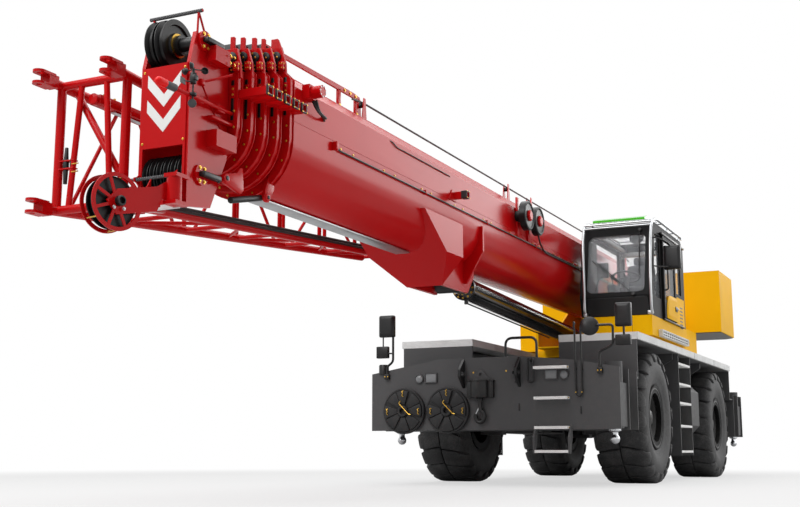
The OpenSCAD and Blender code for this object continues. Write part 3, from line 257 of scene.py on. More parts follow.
def rope_lay():
    """Wire rope: the strands wind round it as slanted ridges."""
    c = Coat("wire_rope")
    turn = c.axis("X") * 260.0 + c.axis("Z") * 420.0 + c.axis("Y") * 300.0
    ridge = c.node("ShaderNodeMath", {"operation": "SINE"}, {0: turn})
    grease = c.noise(6.0, 4.0)
    c.set("Base Color", c.mix(c.span(ridge, -0.6, 0.6), shade(24, 24, 25), shade(92, 92, 94)))
    c.set("Metallic", 0.6)
    c.set("Roughness", 0.38 + grease * 0.25)
    c.bump(ridge, 0.002)
    return c.material


red = painted("red_boom_paint", shade(196, 12, 16), 0.22, 0.14, 0.0, 0.03, 0.0)
yellow = painted("yellow_cab_paint", shade(253, 192, 8), 0.45, 0.04, 0.0, 0.04)
# Grey for the sheets under the decks and the counterweight: painted shade on those undersides
underside_shade = painted("underside_shade_paint", shade(98, 98, 99), 0.45, 0.2, 0.0, 0.10, 0.0005)
float_black = painted("cast_float_paint", shade(46, 46, 47), 0.45, 0.2, 0.0, 0.06, 0.0005)
dark = painted("grey_carrier_paint", shade(81, 81, 82), 0.5, 0.2, 0.0, 0.06, 0.0004)
satin = painted("black_satin_paint", shade(20, 20, 21), 0.36, 0.35, 0.0, 0.08)
cab_black = painted("black_cab_paint", shade(17, 17, 18), 0.55, 0.12, 0.0, 0.05)
gloss_black = painted("black_cylinder_paint", shade(30, 30, 31), 0.16, 0.6, 0.3, 0.05)
pale = deck_plate("pale_deck_paint", shade(234, 235, 234), shade(178, 178, 176))
tread = deck_plate("step_tread_paint", shade(252, 252, 250), shade(224, 224, 222))
white = painted("white_stripe_paint", shade(240, 240, 238), 0.4, 0.3, 0.0, 0.08)
rubber = tyre_wall()
hose = moulded("hose_rubber", shade(20, 20, 21), 0.45, 600.0, 0.0003, 0.06)
nylon = moulded("sheave_nylon", shade(15, 15, 16), 0.38, 380.0, 0.0003, 0.03, 0.25)
trim = moulded("cab_trim", shade(44, 45, 47), 0.6, 520.0, 0.0005, 0.06)
liner = moulded("cab_headliner", shade(196, 197, 196), 0.75, 300.0, 0.0006, 0.05)
zinc = steel("zinc_plate", shade(186, 188, 190), 0.34)
brass = steel("passivated_bolts", shade(214, 172, 78), 0.3)
chrome = steel("ground_chrome", shade(205, 207, 210), 0.16, (1.0, 40.0, 40.0))
mirror = steel("mirror_glass", shade(215, 220, 222), 0.04)
clear = pane("cab_pane", shade(200, 205, 211), 0.12)
tinted = pane("door_pane", shade(44, 50, 58), 0.55)
green = pane("roof_pane", shade(80, 205, 50), 0.95)
lens = moulded("lamp_lens", shade(200, 202, 205), 0.25, 60.0, 0.0015, 0.03)
smoked = moulded("smoked_lamp_lens", shade(128, 130, 132), 0.22, 60.0, 0.0012, 0.03)
signal = moulded("red_lamp_dome", shade(240, 22, 20), 0.3, 90.0, 0.0004, 0.0, 0.2)
cloth = upholstery()
rope = rope_lay()

FINISHES = {
    dark: ["frame", "front_box", "rear_box", "deck_brackets", "engine_hood", "tanks", "axles", "floats",
           "hook_holder", "knuckle_", "beam_"],
    pale: ["decks"],
    tread: ["ladders"],
    satin: ["grab_rails", "carrier_mirrors", "winches"],
    cab_black: ["cab_frame", "cab_door", "rim_"],
    gloss_black: ["lift_barrel"],
    rubber: ["tyre_"],
    chrome: ["jack_", "lift_rod"],
    zinc: ["engine_block", "cab_guard"],
    yellow: ["turntable", "counterweight", "cab_base"],
    red: ["boom_base", "boom_section_", "boom_head", "aux_nose", "jib"],
    nylon: ["head_sheaves", "aux_sheave", "boom_reels"],
    clear: ["cab_glass"],
    tinted: ["door_glass"],
    trim: ["cab_interior"],
    lens: ["lamps"],
}
for finish, names in FINISHES.items():
    for name, piece in nodes.items():
        if any(name == n or (n.endswith("_") and name.startswith(n)) for n in names):
            piece.data.materials.clear()
            piece.data.materials.append(finish)


def alone(piece=None):
    """Leaves edit mode and selects nothing, or one piece alone."""
    if bpy.context.object and bpy.context.object.mode != "OBJECT":
        bpy.ops.object.mode_set(mode="OBJECT")
    bpy.ops.object.select_all(action="DESELECT")
    if piece:
        piece.select_set(True)
        bpy.context.view_layer.objects.active = piece


def settled(piece):
    """Place, turn and scale go into the mesh."""
    alone(piece)
    bpy.ops.object.transform_apply(location=True, rotation=True, scale=True)
    return piece


def pick(piece, kind, test=None):
    """Edit mode, with the vertices, edges or faces selected that pass the test, or all of them."""
    alone(piece)
    mesh = piece.data
    kinds = {"VERT": mesh.vertices, "EDGE": mesh.edges, "FACE": mesh.polygons}
    for group in kinds.values():
        group.foreach_set("select", [False] * len(group))
    for part in kinds[kind]:
        part.select = test is None or test(part)
    bpy.context.tool_settings.mesh_select_mode = (kind == "VERT", kind == "EDGE", kind == "FACE")
    bpy.ops.object.mode_set(mode="EDIT")


def closed(piece):
    """Back from edit mode, doubles merged and faces outward."""
    bpy.ops.mesh.select_all(action="SELECT")
    bpy.ops.mesh.remove_doubles(threshold=0.00001)
    bpy.ops.mesh.normals_make_consistent(inside=False)
    alone(piece)
    return piece


def eased(piece, width, steps=2, test=None):
    """Chosen edges, or all, rounded."""
    if width:
        pick(piece, "EDGE", test)
        bpy.ops.mesh.bevel(offset=width, segments=steps, affect="EDGES", clamp_overlap=True)
        alone(piece)
    return piece


def slab(low, high, ease=0.004, steps=2):
    """A block between two corners with its edges rounded."""
    low, high = Vector(low), Vector(high)
    alone()
    bpy.ops.mesh.primitive_cube_add(size=1.0, location=(low + high) / 2)
    piece = bpy.context.object
    piece.scale = high - low
    return eased(settled(piece), ease, steps)


def rod(a, b, r, sides=20, ease=0.0, r2=None):
    """A round bar, or a cone with r2 at its far end, with its end edges rounded."""
    a, b = Vector(a), Vector(b)
    along = b - a
    alone()
    bpy.ops.mesh.primitive_cone_add(vertices=sides, radius1=r, radius2=r if r2 is None else r2,
                                    depth=along.length, location=(a + b) / 2,
                                    rotation=along.to_track_quat("Z", "Y").to_euler())
    piece = settled(bpy.context.object)
    ends = [p.index for p in piece.data.polygons if len(p.vertices) == sides]
    rims = {key for i in ends for key in piece.data.polygons[i].edge_keys}
    return eased(piece, ease, 2, lambda e: e.key in rims)


def plate(outline, thick, ease=0.0, steps=1):
    """A flat outline drawn up by its thickness."""
    alone()
    bpy.ops.mesh.primitive_circle_add(vertices=len(outline), fill_type="NGON")
    piece = bpy.context.object
    for vertex, point in zip(piece.data.vertices, outline):
        vertex.co = point
    pick(piece, "FACE")
    bpy.ops.mesh.extrude_region_move(TRANSFORM_OT_translate={"value": Vector(thick)})
    return eased(closed(piece), ease, steps)


def turned(outline, place, axis, steps=48):
    """A closed outline of radius and height, spun round its axis."""
    place, axis = Vector(place), Vector(axis).normalized()
    side = axis.orthogonal().normalized()
    alone()
    bpy.ops.mesh.primitive_circle_add(vertices=len(outline), fill_type="NOTHING")
    piece = bpy.context.object
    for vertex, (r, h) in zip(piece.data.vertices, outline):
        vertex.co = place + side * r + axis * h
    pick(piece, "EDGE")
    bpy.ops.mesh.spin(steps=steps, angle=2 * math.pi, center=place, axis=axis)
    return closed(piece)


def rounded(points, corner, steps=6):
    """The points of a bent line, each inner corner turned into an arc."""
    points = [Vector(p) for p in points]
    path = [points[0]]
    for before, at, after in zip(points, points[1:], points[2:]):
        a, b = (before - at), (after - at)
        reach = min(corner, 0.45 * a.length, 0.45 * b.length)
        start, end = at + a.normalized() * reach, at + b.normalized() * reach
        for i in range(steps + 1):
            t = i / steps
            path.append(start * (1 - t) ** 2 + at * 2 * t * (1 - t) + end * t * t)
    return path + [points[-1]]


def pipe(points, r, corner=0.06, round_steps=2):
    """A tube along a bent line, with its ends closed."""
    path = rounded(points, corner)
    line = bpy.data.curves.new("pipe", "CURVE")
    line.dimensions = "3D"
    spline = line.splines.new("POLY")
    spline.points.add(len(path) - 1)
    for point, at in zip(spline.points, path):
        point.co = (*at, 1.0)
    line.bevel_depth = r
    line.bevel_resolution = round_steps
    line.use_fill_caps = True
    piece = bpy.data.objects.new("pipe", line)
    bpy.context.collection.objects.link(piece)
    alone(piece)
    bpy.ops.object.convert(target="MESH")
    piece = bpy.context.object
    pick(piece, "FACE")
    return closed(piece)


def joined(pieces):
    """Several pieces as one."""
    pieces = list(pieces)
    alone(pieces[0])
    for piece in pieces:
        piece.select_set(True)
    if len(pieces) > 1:
        bpy.ops.object.join()
    return bpy.context.object


def twin(piece, place):
    """A copy of a model with its own mesh, at a place."""
    made = bpy.data.objects.new(piece.name, piece.data.copy())
    made.data.transform(place)
    if place.determinant() < 0:
        made.data.flip_normals()
    bpy.context.collection.objects.link(made)
    return made


def copies(piece, places):
    """One model at every place, as a single piece."""
    made = [twin(piece, place) for place in places]
    bpy.data.objects.remove(piece)
    return joined(made)


def towards(place, out):
    """A place with its Z turned to point outwards."""
    return Matrix.Translation(place) @ Vector(out).to_track_quat("Z", "Y").to_matrix().to_4x4()


def bolt_heads(places, r=0.014):
    """Hexagon heads on washers; each place is a point and the way out."""
    head = rod((0, 0, 0.2 * r), (0, 0, 0.95 * r), r, 6, 0.1 * r)
    washer = rod((0, 0, -0.1 * r), (0, 0, 0.25 * r), 1.4 * r, 14)
    return copies(joined([head, washer]), [towards(p, out) for p, out in places])


MIRRORED = Matrix.Diagonal((1, -1, 1, 1))


def both_sides(piece):
    """The piece and its mirror image across the crane's middle."""
    return copies(piece, [Matrix.Identity(4), MIRRORED])


def fitted(piece, name, finish, body, smooth=35.0, stands_for=()):
    """Names a piece, gives it its finish and lets it ride its body."""
    if isinstance(piece, list):
        piece = joined(piece)
    piece.name = piece.data.name = name
    piece.data.materials.clear()
    piece.data.materials.append(finish)
    alone(piece)
    bpy.ops.object.shade_smooth_by_angle(angle=math.radians(smooth))
    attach(piece, body)
    if stands_for:
        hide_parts(*stands_for)
    return piece


def holed(outer, inner, thick, ease=0.0):
    """A plate with a hole: two rings of as many points, bridged and drawn up."""
    rings = []
    for ring in (outer, inner):
        alone()
        bpy.ops.mesh.primitive_circle_add(vertices=len(ring), fill_type="NOTHING")
        rings.append(bpy.context.object)
        for vertex, point in zip(rings[-1].data.vertices, ring):
            vertex.co = point
    piece = joined(rings)
    pick(piece, "EDGE")
    bpy.ops.mesh.bridge_edge_loops()
    bpy.ops.mesh.select_mode(type="FACE")
    bpy.ops.mesh.select_all(action="SELECT")
    bpy.ops.mesh.extrude_region_move(TRANSFORM_OT_translate={"value": Vector(thick)})
    return eased(closed(piece), ease, 1)


def hollowed(piece, wall, depth):
    """A block with its left face set in by a wall and sunk."""
    pick(piece, "FACE", lambda f: f.normal.y > 0.9)
    bpy.ops.mesh.inset(thickness=wall)
    bpy.ops.mesh.extrude_region_move(TRANSFORM_OT_translate={"value": (0, -depth, 0)})
    return closed(piece)


def along(points, each=6):
    """A closed outline with further points on every side."""
    points = [Vector(p) for p in points]
    return [a.lerp(b, i / each) for a, b in zip(points, points[1:] + points[:1]) for i in range(each)]


def ring_points(middle, across, up, r, count, start=0.0):
    """Points at even steps round a circle."""
    return [middle + across * r * math.cos(a) + up * r * math.sin(a)
            for a in (start + b for b in angles(count))]


def boom_body(n):
    """The body that carries section n, counted from the base section."""
    return "boom_base" if n == 1 else f"boom_section_{n}"


def boom_line(inset):
    """Half width, top and corner cut of the boom's outline, moved in."""
    return 0.45 - inset, 3.84 - inset, 0.162 - 0.586 * inset


def skin(name, finish, body, angle, change=None):
    """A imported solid's own form, merged and shaded smooth, standing for it."""
    piece = bpy.data.objects.new(name, nodes[name].data.copy())
    bpy.context.collection.objects.link(piece)
    pick(piece, "VERT")
    bpy.ops.mesh.remove_doubles(threshold=0.00002)
    alone(piece)
    bpy.ops.mesh.customdata_custom_splitnormals_clear()
    if change:
        for vertex in piece.data.vertices:
            vertex.co = change(vertex.co)
    return fitted(piece, name + "_skin", finish, body, angle, [name])


def short_fork(at):
    """The jib's fork ears, drawn back behind the pin holes."""
    return at - X * 0.085 if at.x > here(11.72, 0, 0).x else at


def boom_skins():
    """Rolled boom sections in one smooth curve, and the jib with short fork ears."""
    for n in range(1, 6):
        skin(boom_body(n), red, boom_body(n), 24)
    skin("boom_head", red, "boom_head", 24)
    skin("jib", red, "boom_base", 40, short_fork)


def collar_line(x, grow, half, top, cut):
    """A collar's outline at x, grown all round."""
    half, top, cut = half + grow, top + grow, cut + 0.586 * grow
    turn = [math.radians(a) for a in range(0, 181, 6)]
    line = [(half * math.cos(a), BARREL_Z - half * math.sin(a)) for a in turn]
    line += [(-half, top - cut), (-half + cut, top), (half - cut, top), (half, top - cut)]
    return [here(x, y, z) for y, z in line]


# Upper pad bolt, lower pad bolt, keeper, ear top and post, as (y, z) on each collar
COLLAR_MARKS = {
    1: ((0.332, 3.946), (0.368, 3.906), (0.413, 3.821), 4.008, (0.284, 0.361, 4.095)),
    2: ((0.312, 3.900), (0.344, 3.860), (0.386, 3.780), 3.956, (0.269, 0.312, 4.057)),
    3: ((0.292, 3.860), (0.324, 3.820), (0.366, 3.740), 3.912, (0.262, 0.310, 4.020)),
    4: ((0.260, 3.821), (0.294, 3.781), (0.338, 3.701), 3.868, (0.238, 0.286, 3.980)),
    5: ((0.242, 3.778), (0.278, 3.736), (0.314, 3.655), 3.824, (0.230, 0.276, 3.939))}


def collar_top(n, front):
    """The ear on a collar's shoulder with its post, black pad, keeper and bolts."""
    body = boom_body(n)
    (y1, z1), (y2, z2), (ky, kz), crown, (p0, p1, rise) = COLLAR_MARKS[n]
    ear = [(y1 - 0.055, kz - 0.10), (y1 - 0.055, crown), (y2 + 0.030, crown), (ky + 0.030, kz + 0.03),
           (ky + 0.040, kz - 0.10)]
    post = [(p0, crown - 0.02), (p0, rise), (p1 - 0.008, rise - 0.002), (p1, rise - 0.012),
            (p1 if n > 1 else 0.398, crown - 0.02)]
    red_parts = [plate([here(front - 0.034, y, z) for y, z in ear], X * 0.030, 0.003),
                 plate([here(front - 0.036, y, z) for y, z in post], X * 0.020, 0.003),
                 slab(here(front - 0.006, ky - 0.024, kz - 0.040), here(front + 0.030, ky + 0.026, kz + 0.036),
                      0.004)]
    mid = Vector((y2 - 0.013, z2 + 0.008))
    arc = [math.radians(a) for a in range(155, -50, -12)]
    rim = [(mid.x + 0.046 * math.cos(a), mid.y + 0.046 * math.sin(a)) for a in arc]
    rim += [(y2 + 0.008, z2 - 0.062), (y2 + 0.018, z2 - 0.115), (y2 + 0.004, z2 - 0.128),
            (y2 - 0.026, z2 - 0.128), (y2 - 0.045, z2 - 0.05)]
    fitted(plate([here(front - 0.006, y, z) for y, z in rim], X * 0.024, 0.005, 2), f"top_pad_{n}", nylon, body)
    fitted(red_parts, f"collar_ear_{n}", red, body)
    heads = [(here(front + 0.0175, y, z), X) for y, z in ((y1, z1), (y2, z2), (y2 - 0.008, z2 - 0.075),
                                                          (y2 - 0.008, z2 - 0.108))]
    small = [(here(front + 0.0295, ky + y, kz + z), X) for y in (-0.008, 0.014) for z in (-0.022, 0.018)]
    small += [(here(front + 0.013, ky + 0.0255, kz + z), Y) for z in (-0.022, 0.018)]
    fitted([bolt_heads(heads, 0.0075), bolt_heads(small, 0.0048)], f"collar_ear_bolts_{n}", brass, body)
    if n > 1:
        low = boom_line(SECTION_INSET * (n - 2))[1]
        fitted(slab(here(front - 0.128, 0.095, low - 0.004), here(front - 0.038, p0 + 0.012, crown + 0.064),
                    0.006), f"rope_block_{n}", nylon, body)


def open_arm(low, high, depth):
    """A square tube that stands out to the left, open at its end."""
    return hollowed(slab(low, high, 0.0), 0.009, depth)


def open_frame(x, y, z, outer, inner, thick):
    """A square rubber frame round the end of a cable arm."""
    wide, tight = ([here(x + r * u, y, z + r * v) for u, v in SQUARE] for r in (outer, inner))
    return holed(along(wide, 3), along(tight, 3), Y * thick, 0.003)


def boom_collars():
    """What the collars carry: rims, side pads, cable arms, rope rollers and bolts."""
    for n in range(1, 6):
        body = boom_body(n)
        front = COLLAR_X + COLLAR_STEP * (n - 1)
        half, top, cut = boom_line(SECTION_INSET * (n - 2))
        collar_top(n, front)
        rims = [holed(collar_line(x, 0.011, half, top, cut), collar_line(x, -0.006, half, top, cut), X * 0.012,
                      0.002) for x in (front - 0.011, front - 0.078)]
        block = both_sides(slab(here(front - 0.004, half - 0.05, top - 0.33),
                                here(front + 0.014, half - 0.014, top - 0.22), 0.004))
        fitted(rims + [block], f"collar_rims_{n}", red, body)
        strip = slab(here(front - 0.002, half - 0.056, top - 0.52),
                     here(front + 0.006, half - 0.028, top - 0.17), 0.003)
        fitted(both_sides(strip), f"side_pads_{n}", nylon, body)
        heads = [(here(front + 0.0135, half - 0.032, top + z), X) for z in (-0.25, -0.30)]
        heads += [(here(front - 0.001, half - 0.024, z), X) for z in (3.27, 3.13)]
        low = [math.radians(a) for a in (24, 50, 74)]
        heads += [(here(front - 0.001, (half - 0.026) * math.cos(a), BARREL_Z - (half - 0.026) * math.sin(a)),
                   X) for a in low]
        fitted(both_sides(bolt_heads(heads, 0.0085)), f"collar_bolts_{n}", brass, body)
        arm = open_arm(here(front - 0.085, half - 0.01, 3.385), here(front - 0.015, 0.622, 3.455), 0.09)
        fitted(arm, f"cable_arm_{n}", red, body, 25)
        seal = open_frame(front - 0.05, 0.604, 3.42, 0.043, 0.030, 0.022)
        fitted(seal, f"cable_arm_seal_{n}", hose, body)
        corners = [(here(front - 0.05 + x, 0.6265, 3.42 + z), Y) for x in (-0.037, 0.037)
                   for z in (-0.037, 0.037)]
        fitted(bolt_heads(corners, 0.005), f"cable_arm_bolts_{n}", brass, body)
        posts = [slab(here(front - 0.06, y - 0.008, top - 0.006), here(front - 0.01, y + 0.008, top + 0.07),
                      0.003) for y in (-0.12, 0.08)]
        fitted(posts, f"rope_roller_posts_{n}", red, body)
        fitted(rod(here(front - 0.035, -0.115, top + 0.045), here(front - 0.035, 0.075, top + 0.045), 0.022, 18,
                   0.004),
               f"rope_roller_{n}", nylon, body)


def boom_sides():
    """Along the base section: seams, lips, hydraulic line with clips, cable, wear strip and cable arm."""
    seam = [slab(here(-1.9, y, 3.352), here(10.56, y + 0.006, 3.358), 0.0015, 1) for y in (0.447, -0.453)]
    lips = [slab(here(-1.9, y, 3.835), here(10.56, y + 0.02, 3.847), 0.003, 1) for y in (0.27, -0.29)]
    fitted(seam + lips, "boom_welds", red, "boom_base")
    line = pipe([here(9.78, 0.440, 3.315), here(9.75, 0.468, 3.31), here(9.68, 0.468, 3.275),
                 here(1.6, 0.468, 3.272), here(-1.8, 0.468, 3.272)],
                0.0095, 0.03)
    upper = pipe([here(8.55, 0.446, 3.66), here(8.5, 0.459, 3.65), here(8.4, 0.459, 3.62),
                  here(7.0, 0.459, 3.62), here(6.95, 0.444, 3.62)], 0.006, 0.03)
    fitted([line, upper], "boom_side_lines", hose, "boom_base")
    spots = [9.55 - 0.93 * i for i in range(13)]
    clips = [slab(here(x - 0.012, 0.446, 3.258), here(x + 0.012, 0.480, 3.305), 0.004) for x in spots[2::2]]
    clips.append(slab(here(9.75, 0.446, 3.26), here(9.79, 0.5, 3.34), 0.004))
    fitted(clips, "boom_line_clips", red, "boom_base")
    fitted(bolt_heads([(here(x + d, 0.452, 3.306), Y) for x in spots for d in (0.074, -0.18)], 0.0075),
           "boom_clip_bolts", brass, "boom_base")
    fitted(slab(here(7.3, -0.09, 2.686), here(10.5, 0.09, 2.703), 0.004), "boom_wear_strip", zinc, "boom_base")

    # Cable arm half way along the side, an open tube with a rubber frame
    arm = open_arm(here(6.815, 0.44, 3.372), here(6.89, 0.632, 3.448), 0.10)
    base = plate([here(x, 0.447, z) for x, z in ((7.02, 3.345), (6.79, 3.345), (6.79, 3.475), (6.92, 3.475))],
                 Y * 0.016, 0.004)
    fitted([arm, base], "side_cable_arm", red, "boom_base", 25)
    fitted(open_frame(6.8525, 0.560, 3.41, 0.045, 0.0335, 0.076), "side_arm_frame", hose, "boom_base")
    fitted(bolt_heads([(here(6.8525 + x, 0.6365, 3.41 + z), Y) for x in (-0.038, 0.038)
                       for z in (-0.038, 0.038)], 0.005),
           "side_arm_bolts", brass, "boom_base")


def boom_top():
    """Flat rail over the front of the boom, rope guides and the winch rope on its way forward."""
    rail = plate([here(x, 0.18, z) for x, z in ((10.60, 4.045), (10.60, 4.085), (10.24, 4.096), (8.89, 4.114),
                                                (8.76, 4.10), (8.76, 4.055), (8.95, 4.055), (10.2, 4.048))],
                 Y * 0.022, 0.003)
    feet_x, guides_x = (10.575, 9.2, 8.83), (8.72, 4.40, 3.45, -1.9)
    feet = [slab(here(x - 0.03, 0.176, 3.836), here(x + 0.03, 0.202, 4.07), 0.004) for x in feet_x]
    cheek = ((-0.05, 3.836), (0.06, 3.836), (0.02, 4.10), (-0.02, 4.10))
    guides = [plate([here(x + d, y, z) for d, z in cheek], Y * 0.012, 0.003) for x in guides_x
              for y in (0.165, 0.228)]
    fitted([rail] + feet + guides, "rope_rail", red, "boom_base")
    rollers = [rod(here(x, 0.170, 4.025), here(x, 0.234, 4.025), 0.026, 18, 0.004) for x in guides_x]
    fitted(rollers, "rope_guide_rollers", nylon, "boom_base")
    fitted(slab(here(9.05, 0.0, 3.842), here(9.42, 0.16, 3.93), 0.02, 3), "rope_rail_cover", hose, "boom_base")
    line = ((8.95, 0.213, 4.03), (8.72, 0.202, 4.062), (4.4, 0.202, 4.062), (-1.9, 0.202, 4.062),
            (-2.25, 0.202, 4.01))
    fitted(pipe([here(*p) for p in line], 0.011, 0.1), "boom_rope", rope, "boom_base")
    spots = [(8.86 + 0.12 * i, 0.203, 4.082) for i in range(3)] + [(x, 0.203, 3.9) for x in feet_x]
    fitted(bolt_heads([(here(*p), Y) for p in spots], 0.012), "rope_rail_bolts", brass, "boom_base")


def boom_reel_hoses():
    """Hose loops on the reels, their frames, caps and bolts, and the front reel's motor."""
    loops, frames, heads = [], [], []
    for x in (4.26, 4.686):
        for y, r in ((0.585, 0.165), (0.625, 0.178)):
            middle = here(x, y, 3.566)
            loop = [middle + X * r * math.cos(a) + Z * r * math.sin(a) for a in angles(32) + [2 * math.pi]]
            loops.append(pipe(loop, 0.017, 0.02))
        frames.append(slab(here(x - 0.035, 0.446, 3.30), here(x + 0.035, 0.475, 3.83), 0.006))
        frames.append(turned([(0.0001, 0.0), (0.075, 0.0), (0.075, 0.02), (0.055, 0.035), (0.0001, 0.035)],
                             here(x, 0.628, 3.566), Y, 32))
        heads += [(here(x + 0.05 * math.cos(a), 0.648, 3.566 + 0.05 * math.sin(a)), Y) for a in angles(6)]
    fitted(loops, "reel_hoses", hose, "boom_base")
    fitted(frames, "reel_frames", red, "boom_base")
    fitted(bolt_heads(heads, 0.008), "reel_bolts", brass, "boom_base")
    feed = [pipe([here(4.26, 0.60, 3.40), here(4.05, 0.56, 3.30), here(3.6, 0.475, 3.245),
                  here(-1.7, 0.468, 3.245)], 0.012, 0.12)]
    drum = [pipe([here(10.25, 0.50 + 0.02 * i, 3.60), here(10.20 - 0.02 * i, 0.52, 3.52),
                  here(10.05 - 0.03 * i, 0.50, 3.50), here(9.95, 0.455, 3.50 + 0.02 * i)], 0.011, 0.05)
            for i in range(3)]
    fitted(feed + drum, "reel_feed_hoses", hose, "boom_base")
    ring = [(here(10.277 + 0.05 * math.cos(a), 0.6225, 3.669 + 0.05 * math.sin(a)), Y) for a in angles(8)]
    fitted(bolt_heads(ring, 0.006), "front_reel_bolts", zinc, "boom_base")


def sheave(rim, hub, half):
    """A rope sheave: grooved rim, sunk web and raised hub."""
    side = [(hub, half), (0.45 * rim, half), (0.49 * rim, 0.55 * half), (0.76 * rim, 0.55 * half),
            (0.80 * rim, half), (rim, half), (rim, 0.8 * half)]
    groove = [(0.86 * rim, 0.25 * half)]
    return turned(side + groove + [(r, -h) for r, h in (side + groove)[::-1]], (0, 0, 0), Y, 56)


def head_sheave_sets():
    """Sheaves of the boom head on their pins, with brass bearing rings."""
    big = copies(sheave(0.224, 0.058, 0.0385), [Matrix.Translation(here(HEAD_PIN_X, y, UPPER_PIN_Z))
                                                for y in (-0.154, -0.0553)])
    small = copies(sheave(0.180, 0.071, 0.0245), [Matrix.Translation(here(HEAD_PIN_X, (i - 2.5) * 0.0683,
                                                                          LOWER_PIN_Z)) for i in range(6)])
    fitted([big, small], "head_sheave_sets", nylon, "boom_head", 40, ["head_sheaves"])
    pins = [rod(here(HEAD_PIN_X, -0.206, UPPER_PIN_Z), here(HEAD_PIN_X, 0.206, UPPER_PIN_Z), 0.0575, 32, 0.004),
            rod(here(HEAD_PIN_X, -0.206, LOWER_PIN_Z), here(HEAD_PIN_X, 0.206, LOWER_PIN_Z), 0.070, 32, 0.004)]
    collar = turned([(0.058, 0.0), (0.085, 0.0), (0.085, 0.05), (0.058, 0.05)],
                    here(HEAD_PIN_X, -0.0163, UPPER_PIN_Z), Y, 32)
    fitted(pins + [collar], "head_sheave_pins", satin, "boom_head")
    fitted(turned([(0.086, 0.0), (0.102, 0.0), (0.102, 0.006), (0.086, 0.008)],
                  here(HEAD_PIN_X, -0.0165, UPPER_PIN_Z), Y, 40), "sheave_bearing_ring", brass, "boom_head")


